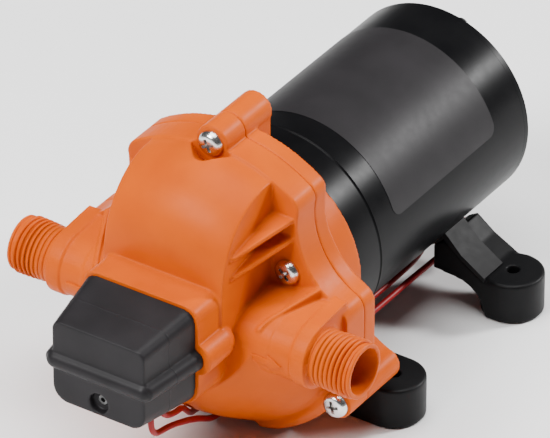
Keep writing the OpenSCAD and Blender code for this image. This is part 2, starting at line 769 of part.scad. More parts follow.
// Tongue in the right front foot, with the web that hangs it from the housing
module front_foot_tongue() {
    translate([tongue_x0, ring_to_hole - tongue_half_w, tongue_z0])
        cube([tongue_x1 - tongue_x0, 2 * tongue_half_w, tongue_t]);
    translate([tongue_x0, tongue_web_y, tongue_z0])
        cube([foot_in_x - 0.5 - tongue_x0, ring_to_hole + tongue_half_w - tongue_web_y, tongue_t]);
    translate([tongue_x0, tongue_web_y, tongue_z0])
        cube([foot_in_x - 0.5 - tongue_x0, -tongue_web_y, tongue_web_h]);
}

module lobe_screws() color(zinc) at_motor()
    round_axis(outer_screw_pcr, lobe_angles)
        pan_screw(flange_y, flange_thread_y - flange_y - 1, screw_r, screw_head_r, head_screw_h);

module notch_screws() color(zinc) at_motor()
    round_axis(inner_screw_pcr, notch_angles)
        pan_screw(flange_y, flange_thread_y - flange_y - 1, screw_r, screw_head_r, head_screw_h);

// Seal ring between the cover's outlet wall and the valve plate
module cover_seal() color(rubber_black) at_motor()
    sleeve(plate_seat_y - seal_t + seat_gap, plate_y0 - seat_gap, seal_r - seat_gap, outlet_room_r);

stem_r = 1.2;
inlet_disc_r = 5;
inlet_disc_t = 0.7;
bulb_r = stem_r + 0.7;
bulb_pocket = 3.4;
valve_hole_r = 1.2;
valve_hole_pcr = 3.2;
outlet_hole_pcr = 10;

// Valve plate: three pumping chambers with their inlet and outlet holes
module valve_plate() color(white_plastic) at_motor() difference() {
    bar(plate_y0, plate_y1, plate_r);
    round_axis(piston_pcr, lobe_angles) {
        bar(chamber_y, plate_y1 + 1, chamber_r);
        bar(plate_y0 - 1, chamber_y + 1, stem_r + seat_gap);
        round_axis(valve_hole_pcr, [45, 135, 225, 315]) bar(plate_y0 - 1, chamber_y + 1, valve_hole_r);
    }
    round_axis(outlet_hole_pcr, lobe_angles) bar(plate_y0 - 1, chamber_y + 1, valve_hole_r);
    bar(plate_y0 - 1, plate_y1 + 1, stem_r + seat_gap);
    bar(plate_y1 - bulb_pocket, plate_y1 + 1, bulb_r + seat_gap);
}

// Rubber flap valve with a stem and a retaining bulb, the flap between stations y0 and y1
module flap_valve(y0, y1, r, bulb_y0, bulb_y1) {
    bar(y0, y1, r);
    bar(min(y0, bulb_y0), max(y1, bulb_y1), stem_r);
    bar(bulb_y0, bulb_y1, bulb_r);
}

module inlet_valves() color(rubber_black) at_motor() round_axis(piston_pcr, lobe_angles)
    flap_valve(chamber_y + seat_gap, chamber_y + seat_gap + inlet_disc_t, inlet_disc_r,
        plate_y0 - seat_gap - 1.2, plate_y0 - seat_gap);

module outlet_valve() color(rubber_black) at_motor()
    flap_valve(plate_y0 - seat_gap - 0.7, plate_y0 - seat_gap, outlet_room_r - 0.4,
        plate_y1 - bulb_pocket + seat_gap, plate_y1 - bulb_pocket + 1.6);

// Diaphragm: clamped sheet with three bosses that follow the wobble plate
module diaphragm() color(rubber_black) at_motor() difference() {
    union() {
        difference() {
            bar(part_y - diaphragm_t + seat_gap, part_y - seat_gap, plate_r);
            round_axis(piston_pcr, lobe_angles) bar(part_y - 5, part_y + 5, chamber_r - 0.5);
        }
        tipped() round_axis(piston_pcr, lobe_angles) bar(boss_y0, boss_y1, chamber_r - 0.25);
    }
    tipped() round_axis(piston_pcr, lobe_angles) bar(boss_y0 - 1, boss_y1 + 1, piston_screw_r + loose_gap);
}

piston_screw_r = 1.5;
piston_head_r = 3;
cap_y0 = boss_y0 - seat_gap - piston_t;

module piston_caps() color(white_plastic) at_motor() tipped()
    round_axis(piston_pcr, lobe_angles) difference() {
        bar(cap_y0, cap_y0 + piston_t, piston_r);
        bar(cap_y0 - 1, cap_y0 + piston_t + 1, piston_screw_r + seat_gap);
        bar(cap_y0 - 1, cap_y0 + 0.9, piston_head_r + seat_gap);
    }

module piston_screws() color(zinc) at_motor() tipped() round_axis(piston_pcr, lobe_angles) {
    bar(cap_y0, cap_y0 + 0.85, piston_head_r);
    bar(cap_y0, pad_y0 + 4, piston_screw_r);
}

// Wobble plate: bearing hub with three pads
module wobble_plate() color(white_plastic) at_motor() tipped() difference() {
    union() {
        bar(cam_y0 - 3, bearing_y1, wobble_hub_r);
        round_axis(piston_pcr, lobe_angles) bar(pad_y0, cam_y0, piston_r);
    }
    bar(bearing_y0 - seat_gap, bearing_y1 + 1, bearing_r + seat_gap);
    bar(cam_y0 - 0.8, bearing_y1, bearing_r - 2);
    round_axis(piston_pcr, lobe_angles) bar(pad_y0 - 1, pad_y0 + 4.5, piston_screw_r + seat_gap);
}

// Groove that the balls run in, as a turned cut
module ball_groove() turned() translate([ball_pcr, race_mid_y]) circle(groove_r);

module cam_bearing_outer() color(steel) at_motor() tipped() difference() {
    sleeve(bearing_y0, bearing_y1, bearing_r, ball_pcr + race_land);
    ball_groove();
}

module cam_bearing_inner() color(steel) at_motor() tipped() difference() {
    sleeve(bearing_y0, bearing_y1, ball_pcr - race_land, journal_r + seat_gap);
    ball_groove();
}

module cam_bearing_balls() color(zinc) at_motor() tipped()
    for (i = [0:ball_count - 1]) rotate([0, 360 * i / ball_count, 0])
        translate([ball_pcr, race_mid_y, 0]) sphere(ball_r);

module cam_bearing_cage() color(bronze) at_motor() tipped() difference() {
    sleeve(race_mid_y - 2.4, race_mid_y + 2.4, ball_pcr + race_land - 0.4, ball_pcr - race_land + 0.4);
    for (i = [0:ball_count - 1]) rotate([0, 360 * i / ball_count, 0])
        translate([0, race_mid_y, 0]) cross_bar(ball_pcr - 2, ball_pcr + 2, groove_r);
}

// Cam: collar square on the shaft, journal tipped and off centre
module drive_cam() color(dark_steel) at_motor() difference() {
    union() {
        tipped() bar(cam_y0, bearing_y1 + 0.4, journal_r);
        bar(bearing_y1 + 0.3, collar_y1, cam_collar_r);
    }
    bar(cam_y0 - 2, collar_y1 + 1, shaft_r + run_gap);
    translate([0, set_screw_y, 0]) cross_bar(0, cam_collar_r + 1, set_screw_r + seat_gap);
}

set_screw_r = 1.2;
set_screw_y = (bearing_y1 + 0.3 + collar_y1) / 2;

module cam_set_screw() color(zinc) at_motor() translate([0, set_screw_y, 0])
    cross_bar(shaft_r + seat_gap, cam_collar_r - 0.4, set_screw_r);

module motor_face_screws() color(zinc) at_motor() round_axis(face_screw_pcr, notch_angles)
    pan_screw(-back_wall, back_wall + ring_plate_t - 0.6, screw_r, screw_r + 1.6, 2.4);

// Pressure switch

// Tapered body of the switch box from its base to a depth
module box_body(outline_shrink, depth) translate([0, base_y, taper_z]) rotate([90, 0, 0])
    linear_extrude(depth, scale = 1 - (1 - box_taper) * depth / box_depth)
        translate([0, -taper_z]) box_outline(-outline_shrink);

front_bead_z = taper_z + (bead_z - taper_z) * box_taper;
front_half_w = box_half_w * box_taper;

module switch_cover() color(charcoal) at_motor() difference() {
    union() {
        difference() {
            box_body(0, box_depth);
            box_body(box_wall, box_depth - front_t);
        }
        // Half-round bead across the front
        translate([0, box_y + 1.2, front_bead_z]) {
            cross_bar(-front_half_w + 0.8, front_half_w - 0.8, bead_r * box_taper);
            for (s = [-1, 1]) translate([s * (front_half_w - 0.8), 0, 0]) sphere(bead_r * box_taper);
        }
        // Guide tube of the spring, slotted for the plunger's arm and the seat's key
        translate([0, 0, switch_z]) difference() {
            bar(box_y + 1, tube_y1, guide_r + guide_wall);
            bar(front_wall_y, tube_y1 + 1, guide_r);
            translate([-guide_slot / 2, front_wall_y, 0])
                cube([guide_slot, slot_end - front_wall_y, 2 * guide_r]);
        }
        // Shelf and pegs that carry the micro switch
        translate([-micro_w / 2, box_y + front_t - 1, micro_z0 - 1.8 - seat_gap])
            cube([micro_w, micro_y0 + 6 - box_y - front_t, 1.8]);
        for (s = [-1, 1]) translate([s * peg_x, micro_y0 + 2.5, micro_z0 - 1]) cylinder(h = 6, r = peg_r);
        // Pillars behind the bead's bumps, with the pegs that plug into the base
        both_sides() translate([bump_x, 0, bead_z]) {
            translate([-0.7, 0, 0]) bar(base_y - 9, base_y, 2.9);
            bar(base_y - 1, base_y + bump_peg_len, bump_peg_r);
        }
    }
    translate([0, 0, switch_z]) {
        bar(box_y - 5, adjuster_y0, adjuster_hole_d / 2);
        bar(box_y, front_wall_y + 1, adjust_r + run_gap);
    }
    for (y = terminal_ys) translate([lead_hole_x, y, -box_drop - 2]) cylinder(h = 8, r = lead_hole_r);
}

module micro_switch() color(rubber_black) at_motor() difference() {
    translate([-micro_w / 2, micro_y0, micro_z0]) cube([micro_w, micro_d, micro_h]);
    for (s = [-1, 1]) translate([s * peg_x, micro_y0 + 2.5, micro_z0 - 1])
        cylinder(h = micro_h + 2, r = peg_r + seat_gap);
    translate([0, 0, micro_z0 + micro_h / 2]) bar(micro_y1 - 3, micro_y1 + 1, button_r + 0.06);
}

module switch_button() color([0.7, 0.15, 0.12]) at_motor()
    translate([0, 0, micro_z0 + micro_h / 2]) bar(micro_y1 - 1, arm_y0 - seat_gap, button_r);

module switch_terminals() color(bronze) at_motor() for (y = terminal_ys)
    translate([micro_w / 2 + seat_gap, y - 1.2, micro_z0 + 2]) cube([terminal_x1 - micro_w / 2, 2.4, 0.8]);

// Lower and upper end of the plunger's arm, above the spring axis
arm_low = spring_r + spring_wire / 2 + 0.25;
arm_high = micro_z0 + micro_h / 2 + 2 - switch_z;

// Plunger: flange on the switch diaphragm, rod in the spring, arm up to the button
module switch_plunger() color(white_plastic) at_motor() {
    translate([0, 0, switch_z]) {
        bar(plunger_y0, plunger_y1 - seat_gap, guide_r - 0.2);
        bar(plunger_y0 - 6, plunger_y0 + 1, plunger_rod_r);
        translate([-arm_half_w, plunger_y0, 0]) cube([2 * arm_half_w, arm_t, arm_low + arm_bar]);
        translate([-arm_half_w, arm_y0, arm_low])
            cube([2 * arm_half_w, plunger_y0 + arm_t - arm_y0, arm_bar]);
        translate([-arm_half_w, arm_y0, arm_low]) cube([2 * arm_half_w, arm_y1 - arm_y0, arm_high - arm_low]);
    }
}

module switch_diaphragm() color(rubber_black) at_motor() translate([0, 0, switch_z])
    bar(tube_y1 + seat_gap, tube_y1 + seat_gap + switch_diaphragm_t, guide_r + guide_wall);

module switch_spring() color(steel) at_motor() translate([0, seat_y1 + 0.1, switch_z])
    coil_spring(plunger_y0 - seat_y1 - 0.2, spring_r, spring_wire, 5);

// Nut that the spring sits on; a key in the guide tube's slot stops it turning
module spring_seat() color(zinc) at_motor() translate([0, 0, switch_z]) difference() {
    union() {
        bar(seat_y0, seat_y1, guide_r - 0.1);
        translate([-arm_half_w, seat_y0, 0]) cube([2 * arm_half_w, seat_t, guide_r + 1]);
    }
    bar(seat_y0 - 1, seat_y1 + 1, adjust_r + seat_gap);
}

// Adjusting screw: socketed end in the box front, collar behind the web, thread in the seat
module adjusting_screw() color(zinc) at_motor() translate([0, 0, switch_z]) difference() {
    union() {
        bar(front_wall_y + seat_gap, front_wall_y + seat_gap + screw_collar_t, guide_r - 0.2);
        bar(adjuster_y0, seat_y1 + 2, adjust_r);
    }
    bar(box_y, adjuster_y0 + 1.2, 1, $fn = 6);
}

// Motor

module motor_front_ring() color(motor_black) at_motor() difference() {
    union() {
        turned() polygon([[0, 0], [ring_r - 0.6, 0], [ring_r, 0.6], [ring_r, ring_len - 0.5],
            [ring_r - 0.5, ring_len], [0, ring_len]]);
        bar(0, ring_len + 3.5, spigot_r);
        bar(-back_wall + 0.1, 1, pilot_r - seat_gap);
    }
    difference() {
        bar(ring_plate_t, ring_len + 4, spigot_in_r);
        bar(ring_plate_t - 1, bush_y0 + bush_len + 1, bush_r + 4);
    }
    bar(bush_y0, ring_len + 4, bush_r + seat_gap);
    bar(-back_wall, ring_len, shaft_r + 1);
    round_axis(face_screw_pcr, notch_angles) bar(-1, ring_plate_t + 1, screw_r + seat_gap);
    round_axis(bolt_pcr, bolt_angles) bar(2, ring_len + 4, bolt_r + seat_gap);
}

module motor_can() color(motor_black) at_motor() difference() {
    sleeve(can_y0 + seat_gap, can_y1 - seat_gap, can_r, can_in_r);
    at_grommets() cylinder(h = 2 * can_r, r = grommet_r + seat_gap);
}

// Lead entries under the rear of the can, with Z pointing out of the can
module at_grommets() for (a = grommet_angles) translate([0, grommet_y, 0]) rotate([0, 180 - a, 0]) children();

module lead_grommets() color(rubber_black) at_motor() at_grommets() {
    translate([0, 0, can_in_r - 1.5]) cylinder(h = can_wall + 2.5, r = grommet_r);
    translate([0, 0, can_r + 0.25]) cylinder(h = 1.5, r = grommet_r + 1);
}

// Space that the cap's spigot and the brush holder leave for the leads
module lead_notch() translate([-lead_notch_w[0], grommet_y - 2 * grommet_r, -can_r])
    cube([lead_notch_w[0] + lead_notch_w[1], 4 * grommet_r, can_r - core_r + 3]);

module motor_end_cap() color(motor_black) at_motor() difference() {
    union() {
        turned() polygon([[0, can_y1], [can_r, can_y1], [can_r, cap_y1 - 1.4],
            [can_r - 1.4, cap_y1], [0, cap_y1]]);
        sleeve(holder_y0 + holder_t + seat_gap, can_y1 + 1, spigot_r, spigot_in_r);
        bar(rear_bush_y0 - 1, can_y1 + 1, bush_r + bush_wall);
        bar(can_y1, cap_y1 + cup_h, bush_r + bush_wall - 1);
    }
    bar(rear_bush_y0 - 2, rear_bush_y0 + rear_bush_len + 0.5, bush_r + seat_gap);
    round_axis(bolt_pcr, bolt_angles) {
        bar(holder_y0, cap_y1 + 1, bolt_r + 0.15);
        bar(cap_y1 - 2.6, cap_y1 + 1, bolt_r + 2);
    }
    lead_notch();
}

// Two arc magnets on the left and right of the armature
module magnets() color(dark_steel) at_motor() both_sides()
    rotate([-90, 0, 0]) rotate([0, 0, -65]) rotate_extrude(angle = 130)
        translate([can_in_r - seat_gap - magnet_t, core_y0 - magnet_over])
            square([magnet_t, core_len + 2 * magnet_over]);

slot_angles = [for (i = [0:slot_count - 1]) 360 * i / slot_count];

// Laminated core with round slots that open to the air gap
module armature_core() color(dark_steel) at_motor() difference() {
    sleeve(core_y0, core_y1, core_r, shaft_r + seat_gap);
    round_axis(slot_pcr, slot_angles) bar(core_y0 - 1, core_y1 + 1, slot_r);
    for (a = slot_angles) rotate([0, a, 0])
        translate([slot_pcr, core_y0 - 1, -0.9]) cube([core_r, core_len + 2, 1.8]);
}

// Windings: bundles in the slots joined by an end turn at each end
module armature_windings() color(copper) at_motor() {
    round_axis(slot_pcr, slot_angles) bar(core_y0 - 2, core_y1 + 2, slot_r - loose_gap);
    for (y = [core_y0 - winding_end - loose_gap, core_y1 + loose_gap]) turned() hull() {
        for (x = [comm_r + 1, slot_pcr + slot_r - 2.4]) for (dy = [2, winding_end - 2])
            translate([x, y + dy]) circle(2, $fn = 16);
    }
}

module commutator() color(copper) at_motor() difference() {
    sleeve(comm_y0, comm_y1, comm_r, shaft_r + seat_gap);
    for (a = slot_angles) rotate([0, a, 0]) translate([comm_r - 1.2, comm_y0 - 1, -0.3])
        cube([comm_r, comm_y1 - comm_y0 + 2, 0.6]);
}

module motor_shaft() color(steel) at_motor() bar(shaft_y0, shaft_y1, shaft_r);

module front_bush() color(bronze) at_motor()
    sleeve(bush_y0 + seat_gap, bush_y0 + bush_len, bush_r, shaft_r + run_gap);

module rear_bush() color(bronze) at_motor()
    sleeve(rear_bush_y0, rear_bush_y0 + rear_bush_len, bush_r, shaft_r + run_gap);

// Brush holder: plate across the can with two open brush boxes
module brush_holder() color([0.42, 0.30, 0.20]) at_motor() difference() {
    union() {
        sleeve(holder_y0, holder_y0 + holder_t, spigot_r, comm_r + 2);
        both_sides() translate([comm_r + 1.5, brush_y - brush_box / 2, -brush_box / 2])
            cube([brush_box_x1 - comm_r - 1.5, holder_y0 + 0.5 - brush_y + brush_box / 2, brush_box]);
    }
    both_sides() translate([comm_r, brush_y - brush_w / 2 - 0.15, -brush_w / 2 - 0.15])
        cube([brush_box_x1 - 2 - comm_r, brush_w + 0.3, brush_w + 0.3]);
    round_axis(bolt_pcr, bolt_angles) bar(holder_y0 - 1, holder_y0 + holder_t + 1, bolt_r + 0.15);
    lead_notch();
}

module brushes() color([0.15, 0.15, 0.16]) at_motor() both_sides() difference() {
    translate([comm_r - 1, brush_y - brush_w / 2, -brush_w / 2]) cube([brush_len, brush_w, brush_w]);
    bar(comm_y0 - 1, comm_y1 + 1, comm_r + run_gap);
}

module brush_springs() color(steel) at_motor() both_sides()
    translate([comm_r - 1 + brush_len + brush_spring_gap, brush_y, 0]) rotate([0, 0, -90])
        coil_spring(brush_box_x1 - 2 - comm_r + 1 - brush_len - 2 * brush_spring_gap, 2.2, 0.7, 5);

module through_bolts() color(zinc) at_motor() round_axis(bolt_pcr, bolt_angles) {
    bar(3, cap_y1 - 2.4, bolt_r);
    bar(cap_y1 - 2.55, cap_y1 - 0.2, bolt_r + 1.7);
}

// Feet and strap

rear_hole_y = ring_to_hole + foot_pitch_y;
strap_y0 = rear_hole_y - foot_r;
strap_in_r = can_r + seat_gap;
strap_out_r = strap_in_r + strap_t;
steep = 46;
shallow = 33;
// Upper edge of the strap's leg: fold, bend and tip
fold = strap_out_r * [cos(strap_fold), -sin(strap_fold)];
bend = fold + strap_leg * [cos(steep), -sin(steep)];
tip_z = foot_top_z + 0.3;
tip = [bend[0] + (bend[1] - tip_z) / tan(shallow), tip_z];
leg_drop = strap_t / cos(shallow);
// Where the leg grows out of the strap's arc
root = (strap_out_r - strap_t / 2) * [cos(strap_fold + 0.5), -sin(strap_fold + 0.5)];
root_low = (strap_out_r - strap_t / 2) * [cos(strap_fold + 4), -sin(strap_fold + 4)];

// One leg of the strap, from its arc under the can out to the foot
leg_points = [root, fold, bend, tip, tip - [0, leg_drop], bend - [0, leg_drop * 1.15], root_low];

module motor_strap() color(dark_steel) at_motor() {
    slab(strap_y0, strap_y0 + strap_w) difference() {
        circle(strap_out_r);
        circle(strap_in_r);
        polygon([[0, 0], 2 * fold, [2 * strap_out_r, 2 * strap_out_r],
            [-2 * strap_out_r, 2 * strap_out_r], [-2 * fold[0], 2 * fold[1]]]);
    }
    both_sides() slab(strap_y0, strap_y0 + strap_w) polygon(leg_points);
}

// Side view of a foot's round end
module foot_profile() {
    square([foot_r, foot_h - foot_edge]);
    square([foot_r - foot_edge, foot_h]);
    translate([foot_r - foot_edge, foot_h - foot_edge]) circle(foot_edge);
}

// Right front foot: stadium block with a slot for the housing's tongue
module front_foot() translate([foot_pitch_x / 2, ring_to_hole, floor_z]) difference() {
    union() {
        rotate_extrude() foot_profile();
        rotate([90, 0, -90]) linear_extrude(front_foot_len) {
            foot_profile();
            mirror([1, 0]) foot_profile();
        }
    }
    translate([0, 0, -1]) cylinder(h = foot_h + 2, r = foot_hole_d / 2);
    translate([-front_foot_len - 1, -tongue_half_w - seat_gap, tongue_z0 - floor_z - seat_gap])
        cube([tongue_x1 - foot_in_x + 1 + seat_gap, 2 * (tongue_half_w + seat_gap), tongue_t + 2 * seat_gap]);
}

// Right rear foot: round end with an arm that rises under the strap's leg
module rear_foot() difference() {
    union() {
        translate([foot_pitch_x / 2, rear_hole_y, floor_z]) rotate_extrude() foot_profile();
        difference() {
            slab(rear_hole_y - foot_r, rear_hole_y + foot_r) polygon(concat(
                [[foot_pitch_x / 2, floor_z], [foot_pitch_x / 2, foot_top_z]],
                [tip - [-leg_drop, leg_drop + seat_gap], bend - [0, leg_drop * 1.15 + seat_gap],
                    fold - [strap_t, strap_t + 1]],
                [[arm_in_x, -strap_out_r * 0.8], [arm_in_x, arm_low_z], [arm_in_x + 7.5, arch_c[1]]],
                [for (a = [15:15:75]) arch_c + arch_r * [sin(a) - 1, cos(a) - 1]],
                [[arch_c[0], floor_z]]));
            bar(rear_hole_y - 2 * foot_r, rear_hole_y + 2 * foot_r, strap_out_r + seat_gap);
        }
    }
    translate([foot_pitch_x / 2, rear_hole_y, floor_z - 1]) cylinder(h = foot_h + 2, r = foot_hole_d / 2);
    // Bed of the strap's leg
    slab(strap_y0 - 1, strap_y0 + strap_w + seat_gap) offset(delta = seat_gap) polygon(leg_points);
}

arm_in_x = 23.3;
arm_rise = 12.8;
arm_low_z = floor_z + arm_rise;
arch_r = 13;
arch_c = [foot_pitch_x / 2 - 4.6, arm_low_z - 0.6];

module front_right_foot() color(rubber_black) at_motor() front_foot();
module front_left_foot() color(rubber_black) at_motor() mirror([1, 0, 0]) front_foot();
module rear_right_foot() color(rubber_black) at_motor() rear_foot();
module rear_left_foot() color(rubber_black) at_motor() mirror([1, 0, 0]) rear_foot();

// Switch leads

module switch_lead_front() color(lead_red) swept_tube(front_route, lead_r, 8);
module switch_lead_rear() color(lead_red) swept_tube(rear_route, lead_r, 8);

head_cover();
drive_housing();
lobe_screws();
notch_screws();
cover_seal();
valve_plate();
inlet_valves();
outlet_valve();
diaphragm();
piston_caps();
piston_screws();
wobble_plate();
cam_bearing_outer();
cam_bearing_inner();
cam_bearing_balls();
cam_bearing_cage();
drive_cam();
cam_set_screw();
motor_face_screws();
switch_cover();
micro_switch();
switch_button();
switch_terminals();
switch_plunger();
switch_diaphragm();
switch_spring();
spring_seat();
adjusting_screw();
motor_front_ring();
motor_can();
motor_end_cap();
magnets();
armature_core();
armature_windings();
commutator();
motor_shaft();
front_bush();
rear_bush();
brush_holder();
brushes();
brush_springs();
through_bolts();
motor_strap();
front_left_foot();
front_right_foot();
rear_left_foot();
rear_right_foot();
switch_lead_front();
switch_lead_rear();
lead_grommets();
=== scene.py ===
# %% [markdown]
# A small water pump, dressed for a studio picture
# The solids of the pump come packed in one frame, in metres, with the floor at zero height.
# This lesson lights them, gives each piece its finish, and swaps the moulded pieces for softer ones.

# %% Load the solids and keep their box
import json
import math
import bmesh
import bpy
from mathutils import Matrix, Vector


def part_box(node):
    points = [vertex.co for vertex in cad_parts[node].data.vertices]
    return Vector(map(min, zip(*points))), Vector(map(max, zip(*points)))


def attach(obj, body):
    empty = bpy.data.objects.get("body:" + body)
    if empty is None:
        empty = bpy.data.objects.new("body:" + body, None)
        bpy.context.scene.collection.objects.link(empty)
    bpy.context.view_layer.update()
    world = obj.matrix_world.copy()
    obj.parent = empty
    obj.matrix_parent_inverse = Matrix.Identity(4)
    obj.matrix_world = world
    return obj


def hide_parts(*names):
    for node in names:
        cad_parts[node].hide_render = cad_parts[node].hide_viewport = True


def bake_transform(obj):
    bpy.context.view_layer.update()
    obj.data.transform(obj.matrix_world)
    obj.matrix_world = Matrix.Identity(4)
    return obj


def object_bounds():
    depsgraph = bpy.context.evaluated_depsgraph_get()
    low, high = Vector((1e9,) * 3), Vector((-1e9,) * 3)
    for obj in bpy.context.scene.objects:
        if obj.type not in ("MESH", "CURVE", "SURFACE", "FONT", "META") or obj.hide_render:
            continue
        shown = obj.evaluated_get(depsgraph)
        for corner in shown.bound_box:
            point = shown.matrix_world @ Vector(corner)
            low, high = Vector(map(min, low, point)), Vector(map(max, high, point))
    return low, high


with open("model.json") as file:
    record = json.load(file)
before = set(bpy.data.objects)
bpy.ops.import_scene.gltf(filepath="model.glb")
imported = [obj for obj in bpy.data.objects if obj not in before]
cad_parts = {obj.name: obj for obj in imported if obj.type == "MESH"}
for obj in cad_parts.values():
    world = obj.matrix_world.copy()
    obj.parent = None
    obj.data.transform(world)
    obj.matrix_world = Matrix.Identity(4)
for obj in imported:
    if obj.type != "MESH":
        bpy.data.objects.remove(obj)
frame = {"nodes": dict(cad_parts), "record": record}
nodes = frame["nodes"]
cad_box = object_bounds()
MM = 0.001
AXIS_H = 54 * MM
RING_Y = -44.5 * MM
print("solids:", len(nodes), "box:", cad_box)

# %% [markdown]
# The camera
# The picture was taken with a long lens from the front right, about 34 degrees to the side and as much
# above. A long lens far away keeps the port mouths round and the motor's sides nearly parallel. A camera
# could be turned until the picture looks right, but these three axes were fitted to points of the pump
# whose sizes are known, so they are written down as they came out.

# %% Set the camera
FOCAL = 480.2
DISTANCE = 2.5
RIGHT = Vector((0.8309, 0.5565, 0.0))
UP = Vector((-0.3094, 0.4620, 0.8312))
BACK = Vector((0.4625, -0.6905, 0.5560))
AIM = Vector((0.00054, -0.03855, 0.06094))


def columns(right, up, back, place):
    """A placing matrix from three axes and a point."""
    rows = [[right[i], up[i], back[i], place[i]] for i in range(3)]
    return Matrix(rows + [[0, 0, 0, 1]])


lens = bpy.data.cameras.new("long_lens")
lens.sensor_width = 36
lens.sensor_fit = "HORIZONTAL"
lens.lens = FOCAL
lens.clip_end = 20
camera = bpy.data.objects.new("camera", lens)
bpy.context.collection.objects.link(camera)
camera.matrix_world = columns(RIGHT, UP, BACK, AIM + DISTANCE * BACK)
bpy.context.scene.camera = camera
print("camera at", tuple(round(v, 3) for v in camera.location))

# %% [markdown]
# The two switch leads
# They leave the switch box through its floor, run along the channel under the head and end in two
# grommets under the motor. A lead could be a row of short tubes, but a curve with a round edge is shorter
# to write, bends evenly, and its length is easy to add up. It runs through listed points in millimetres,
# smoothed by a spline that passes through each of them.

# %% Lay the leads
FRONT_ROUTE = [
    (13.2, -133.5, 57.8), (13.6, -133.5, 53), (14.2, -133.5, 47), (14.4, -133.5, 41),
    (14.5, -133.3, 36), (14.5, -132.2, 33), (14.2, -130, 31), (13.4, -126, 29.2), (12, -119, 26.4),
    (10.5, -111, 22.6), (9, -103, 18.4), (7.6, -95.5, 14), (6.4, -89.5, 10), (5.4, -85, 7.2),
    (5, -80.5, 5.8), (5, -72.5, 5.2), (6, -64.5, 5.4), (8, -55.5, 6.6), (12, -46.5, 8.6),
    (16, -36.5, 10.2), (18.6, -24.5, 11), (19.4, -10.5, 11.2), (19.6, 3.5, 11.2), (19.6, 17.5, 11.2),
    (19.6, 27, 11), (19.8, 35.5, 11), (20.6, 43.5, 11.1), (22, 49, 11.4), (24.2, 52.4, 12.2),
    (25, 55.4, 12.8), (23.6, 58.2, 13), (20.44, 59, 13.01), (16.99, 57.8, 12.98), (13.57, 55.6, 13.2),
    (10.88, 53.9, 13.95), (9.77, 53.5, 14.8), (9.53, 53.5, 15.77)]
REAR_ROUTE = [
    (13.2, -127.5, 57.8), (13.6, -127.5, 53), (14.1, -127.5, 47), (14.3, -127.4, 41),
    (14.3, -126.4, 37.4), (14, -124, 34.8), (12.6, -119, 31.6), (10.6, -113, 28.4), (8.4, -107.5, 25.4),
    (6, -102.5, 21.8), (3.6, -97.5, 17.4), (1.4, -92.5, 12.6), (-0.6, -88, 9), (-2, -84, 7),
    (-2.5, -79, 5.6), (-2.5, -72.5, 5.2), (-2, -64.5, 5.4), (0, -54.5, 6.8), (4, -44.5, 8.8),
    (8, -34.5, 10.4), (12, -22.5, 11), (14, -10.5, 11.2), (14.5, 3.5, 11.2), (14.5, 17.5, 11.2),
    (14, 29.5, 11.2), (12, 38.5, 11.6), (7.96, 45.5, 12.25), (4.35, 50, 12.63), (2.43, 52.6, 13.17),
    (2.09, 53.4, 14.05), (2.06, 53.5, 14.65)]
LEAD_R = 1.1 * MM
LEAD_STEPS = 4


def through(points, steps):
    """Points of a smooth line that passes through every given point."""
    p = [points[0]] + points + [points[-1]]
    line = []
    for i in range(1, len(p) - 2):
        for k in range(steps):
            t = k / steps
            a = p[i] * 2
            b = (p[i + 1] - p[i - 1]) * t
            c = (p[i - 1] * 2 - p[i] * 5 + p[i + 1] * 4 - p[i + 2]) * t * t
            d = (p[i] * 3 - p[i - 1] - p[i + 1] * 3 + p[i + 2]) * t * t * t
            line.append((a + b + c + d) * 0.5)
    return line + [points[-1]]


def lead(name, route):
    """One lead as a round curve, with its length."""
    line = through([Vector(q) * MM for q in route], LEAD_STEPS)
    curve = bpy.data.curves.new(name, "CURVE")
    curve.dimensions = "3D"
    curve.bevel_depth = LEAD_R
    curve.bevel_resolution = 4
    curve.use_fill_caps = True
    spline = curve.splines.new("POLY")
    spline.points.add(len(line) - 1)
    for point, place in zip(spline.points, line):
        point.co = (*place, 1)
    spline.use_smooth = True
    piece = bpy.data.objects.new(name, curve)
    bpy.context.collection.objects.link(piece)
    length = sum((b - a).length for a, b in zip(line, line[1:]))
    print(name, "length in mm:", round(length / MM, 1))
    return piece, line[0], length


front_lead, front_exit, front_length = lead("front_lead", FRONT_ROUTE)
rear_lead, rear_exit, rear_length = lead("rear_lead", REAR_ROUTE)

# %% [markdown]
# Floor and light
# The pump stands on a white floor, as in a studio. One very large soft light hangs above it, and a second
# one in front fills the dome. A small bright box behind it on the right draws the bright streak along the
# motor: black paint shows its shape by what it reflects, so that light is placed by its reflection.

# %% Make the floor
FLOOR_HALF = 6
FLOOR_DROP = 0.4 * MM
floor_mesh = bpy.data.meshes.new("floor")
corners = [(-FLOOR_HALF, -FLOOR_HALF), (FLOOR_HALF, -FLOOR_HALF), (FLOOR_HALF, FLOOR_HALF),
           (-FLOOR_HALF, FLOOR_HALF)]
floor_mesh.from_pydata([(x, y, -FLOOR_DROP) for x, y in corners], [], [(0, 1, 2, 3)])
floor = bpy.data.objects.new("floor", floor_mesh)
bpy.context.collection.objects.link(floor)
print("floor half width in m:", FLOOR_HALF)

# %% Hang the lights
LIGHT_AIM = Vector((0, -0.03, 0.05))


def soft_light(name, place, size, watts):
    """A square soft light that points at the pump."""
    lamp = bpy.data.lights.new(name, "AREA")
    lamp.shape = "SQUARE"
    lamp.size = size
    lamp.energy = watts
    light = bpy.data.objects.new(name, lamp)
    bpy.context.collection.objects.link(light)
    light.location = place
    light.rotation_euler = (LIGHT_AIM - Vector(place)).to_track_quat("-Z", "Y").to_euler()


